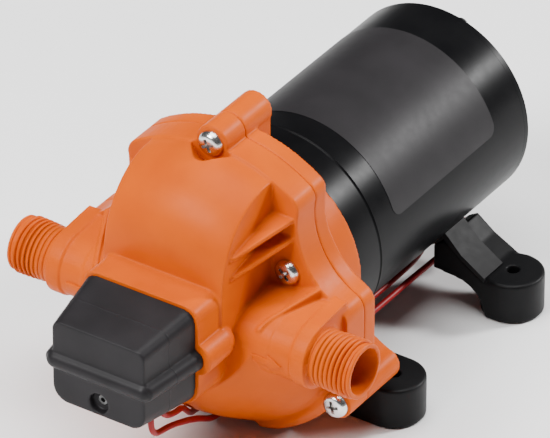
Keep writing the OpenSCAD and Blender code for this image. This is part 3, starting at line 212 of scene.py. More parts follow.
soft_light("overhead", (0.0, 0.0, 1.6), size=1.2, watts=34)
soft_light("front_key", (-0.4, -1.25, 1.25), size=0.7, watts=42)
soft_light("back_right_box", (0.86, 1.08, 0.84), size=0.26, watts=31)
world = bpy.data.worlds.new("studio")
bpy.context.scene.world = world
world.use_nodes = True
sky = world.node_tree.nodes["Background"]
sky.inputs["Color"].default_value = (1, 1, 1, 1)
sky.inputs["Strength"].default_value = 0.1
print("lights:", [light.name for light in bpy.data.lights])

# %% [markdown]
# Finishes
# Plastic, paint, rubber and metal differ in colour and gloss, but none of them is perfectly even. So every
# finish starts from the same small graph, and no picture is needed: a slow noise shifts the colour a
# little, a middle noise breaks up the gloss, and a fine noise is the grain of the mould, the paint or the
# metal. Patterns read Object coordinates, which are metres, so a grain of half a millimetre has scale 2000.
# Stacked sheets, turned metal and wound wire get one more layer: a wave that raises even bands.

# %% Patterns for a finish


def noise(tree, place, scale, detail):
    """The strength of a noise pattern at a place."""
    made = tree.nodes.new("ShaderNodeTexNoise")
    made.inputs["Scale"].default_value = scale
    made.inputs["Detail"].default_value = detail
    tree.links.new(place, made.inputs["Vector"])
    return made.outputs["Fac"]


def raised(tree, height, distance, below=None):
    """A bump made from a height pattern, laid over another bump if there is one."""
    bump = tree.nodes.new("ShaderNodeBump")
    bump.inputs["Strength"].default_value = 1.0
    bump.inputs["Distance"].default_value = distance
    tree.links.new(height, bump.inputs["Height"])
    if below:
        tree.links.new(below, bump.inputs["Normal"])
    return bump.outputs["Normal"]


def bands(tree, place, kind, direction, period):
    """The strength of even bands along an axis, or of rings round it."""
    wave = tree.nodes.new("ShaderNodeTexWave")
    wave.wave_type = kind
    if kind == "BANDS":
        wave.bands_direction = direction
    else:
        wave.rings_direction = direction
    wave.inputs["Scale"].default_value = 2 * math.pi / 20 / period
    tree.links.new(place, wave.inputs["Vector"])
    return wave.outputs["Fac"]


# %% Build the finish graph


def finish(name, dark, light, rough, metal=0.0, grain=2000, grain_depth=0.02, patch=60, gloss=0.5,
           band=None):
    """A finish with colour drift, uneven gloss, a fine grain and, if wanted, even bands."""
    made = bpy.data.materials.new(name)
    made.use_nodes = True
    tree = made.node_tree
    shader = tree.nodes["Principled BSDF"]
    shader.inputs["Metallic"].default_value = metal
    shader.inputs["Specular IOR Level"].default_value = gloss
    centre = tree.nodes.new("ShaderNodeMapping")
    centre.inputs["Location"].default_value = (0, -RING_Y, -AXIS_H)
    tree.links.new(tree.nodes.new("ShaderNodeTexCoord").outputs["Object"], centre.inputs["Vector"])
    place = centre.outputs["Vector"]
    ramp = tree.nodes.new("ShaderNodeValToRGB")
    ramp.color_ramp.elements[0].position = 0.3
    ramp.color_ramp.elements[0].color = (*dark, 1)
    ramp.color_ramp.elements[1].position = 0.7
    ramp.color_ramp.elements[1].color = (*light, 1)
    tree.links.new(noise(tree, place, patch, 4), ramp.inputs["Fac"])
    tree.links.new(ramp.outputs["Color"], shader.inputs["Base Color"])
    spread = tree.nodes.new("ShaderNodeMapRange")
    spread.inputs["To Min"].default_value = rough[0]
    spread.inputs["To Max"].default_value = rough[1]
    tree.links.new(noise(tree, place, patch * 5, 3), spread.inputs["Value"])
    tree.links.new(spread.outputs["Result"], shader.inputs["Roughness"])
    normal = raised(tree, noise(tree, place, grain, 3), grain_depth * MM)
    if band:
        normal = raised(tree, bands(tree, place, *band[:3]), band[3], normal)
    tree.links.new(normal, shader.inputs["Normal"])
    return made


# %% Mix the finishes that show
orange = finish("orange_moulding", (0.49, 0.070, 0.0), (0.55, 0.085, 0.0), (0.34, 0.46),
                grain_depth=0.005, gloss=0.07)
charcoal = finish("charcoal_moulding", (0.0115, 0.0105, 0.0115), (0.0170, 0.0155, 0.0170), (0.36, 0.46),
                  grain=1500, grain_depth=0.02, gloss=0.13)
motor_paint = finish("motor_paint", (0.003, 0.003, 0.0035), (0.005, 0.005, 0.0055), (0.28, 0.36),
                     grain=700, grain_depth=0.004, gloss=0.065)
zinc = finish("zinc_plate", (0.62, 0.61, 0.60), (0.80, 0.79, 0.77), (0.14, 0.26), metal=1.0,
              grain=3000, grain_depth=0.004, patch=400)
foot_rubber = finish("foot_rubber", (0.004, 0.004, 0.0045), (0.007, 0.007, 0.0075), (0.38, 0.52),
                     grain=1800, grain_depth=0.012, gloss=0.12)
strap_steel = finish("strap_steel", (0.008, 0.008, 0.0085), (0.013, 0.0125, 0.013), (0.44, 0.56),
                     grain=2500, grain_depth=0.008, gloss=0.10)
lead_red = finish("lead_insulation", (0.25, 0.006, 0.008), (0.32, 0.010, 0.013), (0.34, 0.44),
                  grain=1500, grain_depth=0.004, gloss=0.2)
label_film = finish("label_film", (0.014, 0.013, 0.014), (0.019, 0.0175, 0.019), (0.42, 0.50),
                    grain=900, grain_depth=0.003, gloss=0.14)
floor_white = finish("floor_white", (0.90, 0.90, 0.90), (0.93, 0.93, 0.93), (0.70, 0.80), patch=3,
                     grain=300, grain_depth=0.02)
floor_mesh.materials.append(floor_white)
print("finishes that show:", len(bpy.data.materials))

# %% [markdown]
# Finishes inside
# Most of the machine is hidden, but it shows when a piece is taken off. The valve plate and the wobble
# plate are natural white nylon, the diaphragms and valves rubber, the bearing ground steel with fine rings,
# the bushes bronze, and the motor has stacked sheet iron, enamelled wire, ferrite and carbon. The record
# names a slot for each solid, so one table from slot to finish dresses them all in a loop.

# %% Mix the finishes inside
FINISHES = {
    "orange_plastic": orange,
    "charcoal_plastic": charcoal,
    "motor_black": motor_paint,
    "zinc_screws": zinc,
    "foot_rubber": foot_rubber,
    "dark_steel": strap_steel,
    "red_insulation": lead_red,
    "soft_rubber": finish("soft_rubber", (0.012, 0.012, 0.012), (0.022, 0.021, 0.021), (0.55, 0.75),
                          grain=2500, grain_depth=0.015),
    "white_plastic": finish("white_nylon", (0.70, 0.69, 0.64), (0.80, 0.79, 0.75), (0.38, 0.5),
                            grain=1500, grain_depth=0.008),
    "bearing_steel": finish("ground_steel", (0.46, 0.46, 0.47), (0.60, 0.60, 0.61), (0.16, 0.28), metal=1.0,
                            patch=300, grain=4000, grain_depth=0.003,
                            band=("RINGS", "Y", 0.0003, 0.000002)),
    "bronze": finish("sintered_bronze", (0.44, 0.26, 0.10), (0.58, 0.36, 0.15), (0.34, 0.5), metal=1.0,
                     patch=500, grain=5000, grain_depth=0.012),
    "red_plastic": finish("red_button", (0.42, 0.02, 0.015), (0.52, 0.03, 0.02), (0.3, 0.42)),
    "ferrite": finish("ferrite", (0.045, 0.045, 0.048), (0.075, 0.075, 0.078), (0.5, 0.7), metal=0.2,
                      grain=3000, grain_depth=0.03),
    "core_iron": finish("stacked_iron", (0.20, 0.20, 0.21), (0.30, 0.30, 0.31), (0.36, 0.5), metal=0.9,
                        patch=200, band=("BANDS", "Y", 0.0005, 0.00012)),
    "copper": finish("enamelled_copper", (0.48, 0.17, 0.05), (0.62, 0.25, 0.08), (0.22, 0.36), metal=1.0,
                     patch=300, band=("RINGS", "Y", 0.0006, 0.00010)),
    "brown_plastic": finish("pressed_board", (0.15, 0.075, 0.035), (0.22, 0.115, 0.055), (0.5, 0.65),
                            patch=150, grain=1200, grain_depth=0.02),
    "carbon": finish("pressed_carbon", (0.018, 0.018, 0.019), (0.034, 0.034, 0.035), (0.5, 0.7), metal=0.2,
                     grain=4000, grain_depth=0.02),
}
blackened = finish("blackened_screw", (0.10, 0.10, 0.10), (0.16, 0.16, 0.16), (0.3, 0.42), metal=1.0,
                   patch=400, grain=3000, grain_depth=0.006)
print("finishes in all:", len(bpy.data.materials))

# %% Dress the solids by their slots
BLACKENED = ("adjusting_screw", "through_bolts")
slot_of = {}
dressed = 0
for part in frame["record"]["subparts"]:
    solid = nodes[part["node"]]
    slot_of[part["node"]] = part["material_slot"]
    made = FINISHES[part["material_slot"]]
    if part["node"] in BLACKENED:
        made = blackened
    for place in solid.material_slots:
        place.material = made
        dressed += 1
print("solids with a finish:", dressed)

# %% [markdown]
# Soft moulded shells
# A moulding has no sharp edge: its corners are rounded by the mould, more so on soft rubber. A copy of
# each solid is skinned again with small voxels and relaxed a few times, which rounds every edge by about a
# millimetre and leaves the large faces where they were. A bevel could do it too, but it fails where many
# faces meet at one corner, as they do round the ports.

# %% Helpers for a copied solid


def merged_copy(node, name):
    """A copy of a solid with its loose triangles joined."""
    mesh = nodes[node].data.copy()
    mesh.name = name
    mesh.materials.clear()
    form = bmesh.new()
    form.from_mesh(mesh)
    bmesh.ops.remove_doubles(form, verts=form.verts, dist=1e-6)
    form.to_mesh(mesh)
    form.free()
    piece = bpy.data.objects.new(name, mesh)
    bpy.context.collection.objects.link(piece)
    return piece


def settle(piece):
    """Turns the piece with its modifiers into a plain mesh."""
    view = bpy.context.evaluated_depsgraph_get()
    mesh = bpy.data.meshes.new_from_object(piece.evaluated_get(view))
    mesh.name = piece.name
    piece.modifiers.clear()
    piece.data = mesh


def piece_from(form, name):
    """An object from a finished form."""
    bmesh.ops.recalc_face_normals(form, faces=form.faces)
    mesh = bpy.data.meshes.new(name)
    form.to_mesh(mesh)
    form.free()
    piece = bpy.data.objects.new(name, mesh)
    bpy.context.collection.objects.link(piece)
    return piece


def smooth_below(piece, degrees):
    """Smooth shading that stops at edges sharper than an angle."""
    piece.data.shade_smooth()
    piece.data.set_sharp_from_angle(angle=math.radians(degrees))


def dress(piece, made, slot, *stands_for, body="pump_body"):
    """Finish, material slot (not used), body and the solids that a piece stands for."""
    piece.data.materials.clear()
    piece.data.materials.append(made)
    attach(piece, body)
    if stands_for:
        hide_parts(*stands_for)


# %% Skin and relax a copy


def moulded(node, name, voxel, rounds, share):
    """A skinned and relaxed copy of a solid, thinned to a share of its faces."""
    piece = merged_copy(node, name)
    skin = piece.modifiers.new("skin", "REMESH")
    skin.mode = "VOXEL"
    skin.voxel_size = voxel
    relax = piece.modifiers.new("relax", "SMOOTH")
    relax.factor = 0.5
    relax.iterations = rounds
    thin = piece.modifiers.new("thin", "DECIMATE")
    thin.ratio = share
    settle(piece)
    piece.data.shade_smooth()
    print(name, "faces:", len(piece.data.polygons))
    return piece


# %% Round the mouldings
FINE = 0.4 * MM
COARSE = 0.5 * MM
head = moulded("head_cover", "head_shell", FINE, rounds=5, share=0.20)
housing = moulded("drive_housing", "housing_shell", COARSE, rounds=4, share=0.30)
box = moulded("switch_cover", "switch_box", FINE, rounds=7, share=0.5)
dress(housing, orange, "orange_plastic", "drive_housing")
for name in ("front_left_foot", "front_right_foot", "rear_left_foot", "rear_right_foot"):
    foot = moulded(name, name + "_rubber", COARSE, rounds=6, share=0.5)
    dress(foot, foot_rubber, "foot_rubber", name)

# %% [markdown]
# A seam on the switch box
# The box is cast in a mould of two halves, and a fine ridge stays where they met. A bump in the finish
# would show it too, but it would be missing from the mesh. So the shell is cut across three times, close
# together, and the middle row of points is lifted.

# %% Raise the seam
SEAM_Y = -130.5 * MM
SEAM_HALF = 0.3 * MM
SEAM_HIGH = 0.12 * MM


def cut_rows(form, y, half):
    """Cuts a form across at y and on both sides of it, and gives the points of the middle cut."""
    for at in (y - half, y, y + half):
        everything = form.verts[:] + form.edges[:] + form.faces[:]
        bmesh.ops.bisect_plane(form, geom=everything, plane_co=(0, at, 0), plane_no=(0, 1, 0), dist=1e-7)
    return [v for v in form.verts if abs(v.co.y - y) < 1e-6]


form = bmesh.new()
form.from_mesh(box.data)
seam = cut_rows(form, SEAM_Y, SEAM_HALF)
form.normal_update()
for vert, out in [(vert, vert.normal.copy()) for vert in seam]:
    vert.co += out * SEAM_HIGH
form.to_mesh(box.data)
form.free()
dress(box, charcoal, "charcoal_plastic", "switch_cover")
print("points on the seam:", len(seam))

# %% [markdown]
# Port threads
# Each port ends in a half-inch pipe thread. The solid has it as a plain spigot of the thread's outer
# diameter, so the shell's spigot is first turned down a little below the core, and a smooth sleeve with a
# plain rim is laid over it. The ridge then follows a rule: one profile swept along a helix, which a node
# tree does from the radius, the pitch and the number of turns. A screw modifier could wind it as well, but
# it has no run-out at the ends.

# %% Turn the spigots down to the core
PORT_Y = -88 * MM
PORT_Z = 53 * MM
PORT_TIP = cad_box[1][0]
COLLAR_X = PORT_TIP - 17 * MM
PITCH = 1.814 * MM
CORE_R = 9.32 * MM
UNDER_R = CORE_R - 0.12 * MM
REACH_R = 13 * MM
turned = 0
for vert in head.data.vertices:
    out = abs(vert.co.x)
    arm = Vector((vert.co.y - PORT_Y, vert.co.z - PORT_Z))
    if out > COLLAR_X + 0.2 * MM and UNDER_R < arm.length < REACH_R:
        arm *= UNDER_R / arm.length
        vert.co.y = PORT_Y + arm.x
        vert.co.z = PORT_Z + arm.y
        turned += 1
head.data.update()
dress(head, orange, "orange_plastic", "head_cover")
print("spigot points turned down:", turned)

# %% Lay a smooth sleeve over each core
SLEEVE_R = CORE_R + 0.06 * MM
INNER_R = 8.75 * MM
RIM_R = 9.85 * MM
PROUD = 0.02 * MM
SLEEVE = ((COLLAR_X, INNER_R), (COLLAR_X, SLEEVE_R), (PORT_TIP - 1.3 * MM, SLEEVE_R),
          (PORT_TIP - 1.0 * MM, RIM_R), (PORT_TIP - 0.3 * MM, RIM_R), (PORT_TIP, 9.6 * MM),
          (PORT_TIP + PROUD, 9.5 * MM), (PORT_TIP + PROUD, INNER_R))
AROUND = 96
form = bmesh.new()
for side in (1, -1):
    rims = []
    for x, r in SLEEVE:
        turns = [2 * math.pi * k / AROUND for k in range(AROUND)]
        rims.append([form.verts.new((side * x, PORT_Y + r * math.cos(a), PORT_Z + r * math.sin(a)))
                     for a in turns])
    for near, far in zip(rims, rims[1:] + rims[:1]):
        for k in range(AROUND):
            after = (k + 1) % AROUND
            form.faces.new((near[k], near[after], far[after], far[k]))
sleeves = piece_from(form, "port_sleeves")
smooth_below(sleeves, 35)
dress(sleeves, orange, "orange_plastic")
print("sleeve faces:", len(sleeves.data.polygons))

# %% Helpers for node trees


def new_tree(name, sizes):
    """An empty node tree with a named input for each size, and its group input."""
    tree = bpy.data.node_groups.new(name, "GeometryNodeTree")
    tree.interface.new_socket("Geometry", in_out="INPUT", socket_type="NodeSocketGeometry")
    for label, kind in sizes:
        tree.interface.new_socket(label, in_out="INPUT", socket_type="NodeSocket" + kind)
    tree.interface.new_socket("Geometry", in_out="OUTPUT", socket_type="NodeSocketGeometry")
    return tree, tree.nodes.new("NodeGroupInput").outputs


def add(tree, kind, inputs, **settings):
    """A node with its settings, its inputs linked or set, and its first output."""
    node = tree.nodes.new(kind)
    for label, value in settings.items():
        setattr(node, label, value)
    for socket, value in inputs.items():
        if isinstance(value, bpy.types.NodeSocket):
            tree.links.new(value, node.inputs[socket])
        else:
            node.inputs[socket].default_value = value
    return node.outputs[0]


def sum_of(tree, rule, a, b):
    """One arithmetic step on two values."""
    return add(tree, "ShaderNodeMath", {0: a, 1: b}, operation=rule)


def close_tree(tree, shape, made):
    """Ends a tree: instances made real, the finish set."""
    real = add(tree, "GeometryNodeRealizeInstances", {"Geometry": shape})
    last = add(tree, "GeometryNodeSetMaterial", {"Geometry": real, "Material": made})
    tree.links.new(last, tree.nodes.new("NodeGroupOutput").inputs[0])


def grow(name, points, tree, values):
    """Runs a tree on a few points and keeps the result as a plain mesh."""
    mesh = bpy.data.meshes.new(name)
    mesh.from_pydata(points, [], [])
    piece = bpy.data.objects.new(name, mesh)
    bpy.context.collection.objects.link(piece)
    step = piece.modifiers.new("tree", "NODES")
    step.node_group = tree
    for item in tree.interface.items_tree:
        if item.in_out == "INPUT" and item.name in values:
            step[item.identifier] = values[item.name]
    settle(piece)
    print(name, "faces:", len(piece.data.polygons))
    return piece


# %% Sweep the port threads
tree, size = new_tree("port_thread", [("Core Radius", "Float"), ("Pitch", "Float"), ("Turns", "Float"),
                                      ("Finish", "Material")])
helix = add(tree, "GeometryNodeCurveSpiral", {
    "Resolution": 56, "Rotations": size["Turns"], "Start Radius": size["Core Radius"],
    "End Radius": size["Core Radius"], "Height": sum_of(tree, "MULTIPLY", size["Pitch"], size["Turns"])})
ridge = add(tree, "GeometryNodeCurvePrimitiveQuadrilateral", {
    "Point 1": (-0.46, -0.14, 0), "Point 2": (0.46, -0.14, 0), "Point 3": (0.12, 0.62, 0),
    "Point 4": (-0.12, 0.62, 0)}, mode="POINTS")
along = add(tree, "GeometryNodeSplineParameter", {})
to_end = sum_of(tree, "MINIMUM", along, sum_of(tree, "SUBTRACT", 1.0, along))
run_out = sum_of(tree, "MINIMUM", sum_of(tree, "MULTIPLY", to_end, 14.0), 1.0)
thread = add(tree, "GeometryNodeCurveToMesh", {
    "Curve": helix, "Profile Curve": ridge, "Fill Caps": True,
    "Scale": sum_of(tree, "MULTIPLY", run_out, size["Pitch"])})
smooth = add(tree, "GeometryNodeSetShadeSmooth", {"Geometry": thread})
turn_to_x = add(tree, "GeometryNodeTransform", {"Geometry": smooth, "Rotation": (0, math.pi / 2, 0)})
side = sum_of(tree, "LESS_THAN", add(tree, "ShaderNodeSeparateXYZ", {
    0: add(tree, "GeometryNodeInputPosition", {})}), 0.0)
half_turn = add(tree, "ShaderNodeCombineXYZ", {"Z": sum_of(tree, "MULTIPLY", side, math.pi)})
pair = add(tree, "GeometryNodeInstanceOnPoints", {
    "Points": size["Geometry"], "Instance": turn_to_x,
    "Rotation": add(tree, "FunctionNodeEulerToRotation", {"Euler": half_turn})})
close_tree(tree, pair, size["Finish"])
TURNS = 8.6
start = COLLAR_X + 0.1 * MM
threads = grow("port_threads", [(start, PORT_Y, PORT_Z), (-start, PORT_Y, PORT_Z)], tree, {
    "Core Radius": CORE_R, "Pitch": PITCH, "Turns": TURNS, "Finish": orange})
dress(threads, orange, "orange_plastic")
print("thread over", round(2 * max(abs(v.co.z - PORT_Z) for v in threads.data.vertices) / MM, 2), "mm")

# %% [markdown]
# Head screws
# Six pan-head screws with a cross recess hold the head together. One screw could be modelled by hand and
# copied, but a node tree makes one head and sets it on every seat from a few named sizes: a sphere pressed
# into a low pan, with a tapered cross cut out of it. Each gets its own turn, because no two screws stop at
# the same angle.

# %% Press the pan of a screw
PAN_POWER = 2.4
tree, size = new_tree("pan_screw", [("Head Radius", "Float"), ("Head Height", "Float"),
                                    ("Shank Radius", "Float"), ("Shank Length", "Float"),
                                    ("Seed", "Int"), ("Finish", "Material")])
ball = add(tree, "GeometryNodeMeshUVSphere", {"Segments": 48, "Rings": 32, "Radius": 1.0})
axes = tree.nodes.new("ShaderNodeSeparateXYZ")
tree.links.new(add(tree, "GeometryNodeInputPosition", {}), axes.inputs[0])
far = sum_of(tree, "ADD", sum_of(tree, "POWER", axes.outputs["X"], 2.0),
             sum_of(tree, "POWER", axes.outputs["Y"], 2.0))
pan = sum_of(tree, "SQRT", sum_of(tree, "MAXIMUM", sum_of(tree, "SUBTRACT", 1.0,
                                                          sum_of(tree, "POWER", far, PAN_POWER)), 0.0), 0.0)
upper = sum_of(tree, "GREATER_THAN", axes.outputs["Z"], 0.0001)
pressed = add(tree, "ShaderNodeCombineXYZ", {
    "X": sum_of(tree, "MULTIPLY", axes.outputs["X"], size["Head Radius"]),
    "Y": sum_of(tree, "MULTIPLY", axes.outputs["Y"], size["Head Radius"]),
    "Z": sum_of(tree, "MULTIPLY", sum_of(tree, "MULTIPLY", pan, upper), size["Head Height"])})
cap = add(tree, "GeometryNodeSetPosition", {"Geometry": ball, "Position": pressed})
print("nodes so far:", len(tree.nodes))

# %% Cut the cross recess
WING_LONG = 1.56
WING_WIDE = 0.38
WING_DEEP = 1.6
wing_a = add(tree, "GeometryNodeMeshCube", {"Size": (WING_LONG, WING_WIDE, WING_DEEP)})
wing_b = add(tree, "GeometryNodeMeshCube", {"Size": (WING_WIDE, WING_LONG, WING_DEEP)})
cross = tree.nodes.new("GeometryNodeJoinGeometry")
tree.links.new(wing_a, cross.inputs[0])
tree.links.new(wing_b, cross.inputs[0])
narrow = sum_of(tree, "ADD", sum_of(tree, "MULTIPLY", axes.outputs["Z"], 0.36), 0.72)
tapered = add(tree, "ShaderNodeCombineXYZ", {
    "X": sum_of(tree, "MULTIPLY", sum_of(tree, "MULTIPLY", axes.outputs["X"], narrow), size["Head Radius"]),
    "Y": sum_of(tree, "MULTIPLY", sum_of(tree, "MULTIPLY", axes.outputs["Y"], narrow), size["Head Radius"]),
    "Z": sum_of(tree, "MULTIPLY", sum_of(tree, "ADD", axes.outputs["Z"], 1.12), size["Head Height"])})
cutter = add(tree, "GeometryNodeSetPosition", {"Geometry": cross.outputs[0], "Position": tapered})
driven = add(tree, "GeometryNodeMeshBoolean", {
    "Mesh 1": cap, "Mesh 2": cutter, "Self Intersection": True}, operation="DIFFERENCE", solver="EXACT")
print("nodes so far:", len(tree.nodes))

# %% Add the shank and set a screw on every seat
shank = add(tree, "GeometryNodeMeshCylinder", {
    "Vertices": 24, "Radius": size["Shank Radius"], "Depth": size["Shank Length"]})
drop = add(tree, "ShaderNodeCombineXYZ", {"Z": sum_of(tree, "MULTIPLY", size["Shank Length"], -0.499)})
sunk = add(tree, "GeometryNodeTransform", {"Geometry": shank, "Translation": drop})
whole = tree.nodes.new("GeometryNodeJoinGeometry")
tree.links.new(driven, whole.inputs[0])
tree.links.new(sunk, whole.inputs[0])
soft = add(tree, "FunctionNodeCompare", {
    0: add(tree, "GeometryNodeInputMeshEdgeAngle", {}), 1: math.radians(28)}, operation="LESS_THAN")
shaded = add(tree, "GeometryNodeSetShadeSmooth", {
    "Geometry": whole.outputs[0], "Selection": soft}, domain="EDGE")
chance = tree.nodes.new("FunctionNodeRandomValue")
chance.data_type = "FLOAT"
chance.inputs[3].default_value = math.pi / 2
tree.links.new(size["Seed"], chance.inputs["Seed"])
spin = add(tree, "ShaderNodeCombineXYZ", {"X": math.pi / 2, "Y": chance.outputs[1]})
placed = add(tree, "GeometryNodeInstanceOnPoints", {
    "Points": size["Geometry"], "Instance": shaded,
    "Rotation": add(tree, "FunctionNodeEulerToRotation", {"Euler": spin})})
close_tree(tree, placed, size["Finish"])
print("nodes in the screw tree:", len(tree.nodes))

# %% Grow the screws
SEAT_Y = -75.5 * MM
LOBE_REACH = 58 * MM
NOTCH_REACH = 35.5 * MM


def screws(node, name, reach, angles, seed):
    """The screws of one bolt circle, as long as the solid's."""
    seats = [(reach * math.cos(math.radians(a)), SEAT_Y, AXIS_H + reach * math.sin(math.radians(a)))
             for a in angles]
    piece = grow(name, seats, tree, {
        "Head Radius": 4.7 * MM, "Head Height": 2.8 * MM, "Shank Radius": 2 * MM,
        "Shank Length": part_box(node)[1][1] - SEAT_Y, "Seed": seed, "Finish": zinc})
    dress(piece, zinc, "zinc_screws", node)


screws("lobe_screws", "lobe_pan_screws", LOBE_REACH, (90, 210, 330), seed=4)
screws("notch_screws", "notch_pan_screws", NOTCH_REACH, (30, 150, 270), seed=9)

# %% [markdown]
# Flow arrows
# A raised arrow on each neck shows which way the water goes: in on the left, out on the right. A flat arrow
# would sink into the round neck, so its outline is wrapped: each of its points goes to the neck's radius,
# turned by its arc length. The outline is in millimetres, along the neck and round it.

# %% Wrap the arrows
ARROW = [(31, -1.5), (38.3, -1.5), (38.3, -3.2), (43.75, 0), (38.3, 3.2), (38.3, 1.5), (31, 1.5)]
ARROW_R = 11.9 * MM
ARROW_DEPTH = 1.4 * MM
ARROW_DROP = 1.7
INLET_SHIFT = 74.75


def wrapped(name, outline):
    """A raised outline on the front of a neck, closed at its back."""
    form = bmesh.new()
    rims = []
    for r in (ARROW_R, ARROW_R - ARROW_DEPTH):
        rim = []
        for x, s in outline:
            turn = (s - ARROW_DROP) * MM / ARROW_R
            rim.append(form.verts.new((x * MM, PORT_Y - r * math.cos(turn), PORT_Z + r * math.sin(turn))))
        rims.append(rim)
    count = len(outline)
    for k in range(count):
        form.faces.new((rims[0][k], rims[0][(k + 1) % count], rims[1][(k + 1) % count], rims[1][k]))
    form.faces.new(rims[0])
    form.faces.new(rims[1])
    piece = piece_from(form, name)
    ease = piece.modifiers.new("ease", "BEVEL")
    ease.width = 0.2 * MM
    ease.segments = 2
    settle(piece)
    smooth_below(piece, 50)
    dress(piece, orange, "orange_plastic")
    print(name, "faces:", len(piece.data.polygons))


wrapped("outlet_arrow", ARROW)
wrapped("inlet_arrow", [(x - INLET_SHIFT, s) for x, s in ARROW])

# %% [markdown]
# The motor
# Ring, can and end cap are drawn steel with satin black paint. Their edges are rolled, so a copy of each
# gets a small bevel that catches the light, and the ring gets the fine groove near its rear edge. The flat
# triangles are first joined into whole faces, since a bevel follows their edges. The shading is weighted by
# the size of the faces, which keeps the reflection on the long round walls straight.

# %% Press a groove round the ring
GROOVE_Y = RING_Y + 13.2 * MM
GROOVE_HALF = 0.5 * MM
GROOVE_DEEP = 0.6 * MM
OUTER_SKIN = 0.3 * MM


def press_groove(piece):
    """Presses a narrow V groove round the outside of the ring."""
    form = bmesh.new()
    form.from_mesh(piece.data)
    middle = cut_rows(form, GROOVE_Y, GROOVE_HALF)
    outside = max(math.hypot(v.co.x, v.co.z - AXIS_H) for v in form.verts)
    for v in middle:
        reach = math.hypot(v.co.x, v.co.z - AXIS_H)
        if reach > outside - OUTER_SKIN:
            v.co.x *= 1 - GROOVE_DEEP / reach
            v.co.z = AXIS_H + (v.co.z - AXIS_H) * (1 - GROOVE_DEEP / reach)
    form.to_mesh(piece.data)
    form.free()
    print("points in the groove:", len(middle))


# %% Ease the motor's edges
SHARP = 40


def eased(node, name, width, made, slot, after=None):
    """A copy of a solid with its flat faces joined and its edges bevelled."""
    piece = merged_copy(node, name)
    form = bmesh.new()
    form.from_mesh(piece.data)
    bmesh.ops.dissolve_limit(form, angle_limit=math.radians(0.5), verts=form.verts, edges=form.edges)
    form.to_mesh(piece.data)
    form.free()
    ease = piece.modifiers.new("ease", "BEVEL")
    ease.width = width
    ease.segments = 3
    ease.limit_method = "ANGLE"
    ease.angle_limit = math.radians(SHARP)
    settle(piece)
    if after:
        after(piece)
    smooth_below(piece, SHARP)
    even = piece.modifiers.new("even", "WEIGHTED_NORMAL")
    even.weight = 100
    even.keep_sharp = True
    settle(piece)
    dress(piece, made, slot, node)
    print(name, "faces:", len(piece.data.polygons))


eased("motor_front_ring", "front_ring_painted", 0.6 * MM, motor_paint, "motor_black", after=press_groove)
eased("motor_can", "can_painted", 0.3 * MM, motor_paint, "motor_black")
eased("motor_end_cap", "end_cap_painted", 0.5 * MM, motor_paint, "motor_black")
eased("motor_strap", "strap_eased", 0.15 * MM, strap_steel, "dark_steel")

# %% [markdown]
# The switch spring
# The pressure spring sits between the plunger and the seat that the adjusting screw moves, so both of its
# ends travel. A piece can bend between two bodies only, so the spring is cut in the middle, and each half
# is closed at its cut. Both halves keep the spring's finish and stay where the spring was.

# %% Cut the spring in the middle
spring_low, spring_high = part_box("switch_spring")
spring_x = (spring_low[0] + spring_high[0]) / 2
spring_z = (spring_low[2] + spring_high[2]) / 2
SPRING_MID = (spring_x, (spring_low[1] + spring_high[1]) / 2, spring_z)
for name, body, end_y in (("spring_seat_half", "spring_nut", spring_low[1]),
                          ("spring_plunger_half", "plunger", spring_high[1])):
    half = merged_copy("switch_spring", name)
    form = bmesh.new()
    form.from_mesh(half.data)
    everything = form.verts[:] + form.edges[:] + form.faces[:]
    cut = bmesh.ops.bisect_plane(form, geom=everything, plane_co=SPRING_MID, dist=1e-7,
                                 plane_no=(0, SPRING_MID[1] - end_y, 0), clear_outer=True)
    rim = [e for e in cut["geom_cut"] if isinstance(e, bmesh.types.BMEdge)]
    bmesh.ops.edgenet_fill(form, edges=rim)
    bmesh.ops.recalc_face_normals(form, faces=form.faces)
    form.to_mesh(half.data)
    form.free()
    smooth_below(half, SHARP)
    half.data.materials.append(FINISHES[slot_of["switch_spring"]])
    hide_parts("switch_spring")
    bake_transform(half)
    print(name, "faces:", len(half.data.polygons))

# %% [markdown]
# The label
# A satin film of black plastic with round corners is stuck round the upper half of the can. A flat sheet
# could be bent with a modifier, but its corners would stretch. So it is laid in rows of points along the
# motor, each row wrapped round the can and drawn in where a corner is round. Lengths are in millimetres
# and the angle, from the level to the film's edge, is in degrees.

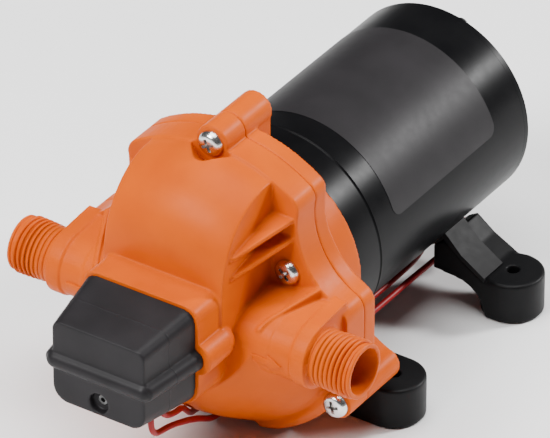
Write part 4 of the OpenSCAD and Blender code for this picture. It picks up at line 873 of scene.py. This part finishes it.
# %% Plan the rows of the label film
CAN_R = 37.5 * MM
FILM_R = CAN_R + 0.02 * MM
FILM_T = 0.12 * MM
FILM_Y = (-18.5, 45.5)
FILM_ANGLE = 14.5
CORNER = 4.0
CORNER_STEPS = 8
LONG_STEPS = 20


def row_ends(y):
    """How far a row is drawn in at its ends by the round corners, in mm."""
    deep = min(y - FILM_Y[0], FILM_Y[1] - y)
    if deep >= CORNER:
        return 0.0
    return CORNER - math.sqrt(CORNER ** 2 - (CORNER - deep) ** 2)


round_in = [CORNER * (1 - math.cos(math.pi / 2 * k / CORNER_STEPS)) for k in range(CORNER_STEPS + 1)]
straight = FILM_Y[1] - FILM_Y[0] - 2 * CORNER
rows = [FILM_Y[0] + deep for deep in round_in]
rows += [FILM_Y[0] + CORNER + straight * k / LONG_STEPS for k in range(1, LONG_STEPS)]
rows += [FILM_Y[1] - deep for deep in reversed(round_in)]
print("rows of the film:", len(rows))

# %% Lay the label film
STEPS = 96
form = bmesh.new()
sheet = []
for y in rows:
    low = FILM_ANGLE + math.degrees(row_ends(y) * MM / CAN_R)
    line = []
    for k in range(STEPS + 1):
        a = math.radians(low + (180 - 2 * low) * k / STEPS)
        line.append(form.verts.new((FILM_R * math.cos(a), y * MM, AXIS_H + FILM_R * math.sin(a))))
    sheet.append(line)
for upper_row, lower_row in zip(sheet, sheet[1:]):
    for k in range(STEPS):
        form.faces.new((upper_row[k], upper_row[k + 1], lower_row[k + 1], lower_row[k]))
film = piece_from(form, "label_film")
thick = film.modifiers.new("thick", "SOLIDIFY")
thick.thickness = FILM_T
thick.offset = 1.0
settle(film)
smooth_below(film, SHARP)
dress(film, label_film, "motor_black")
print("label film faces:", len(film.data.polygons))

# %% [markdown]
# The leads get their finish
# Each lead gets the red insulation finish, joins the pump's body and stands in for its solid, which is
# hidden.

for piece, node, start, length in ((front_lead, "switch_lead_front", front_exit, front_length),
                                   (rear_lead, "switch_lead_rear", rear_exit, rear_length)):
    dress(piece, lead_red, "red_insulation", node)
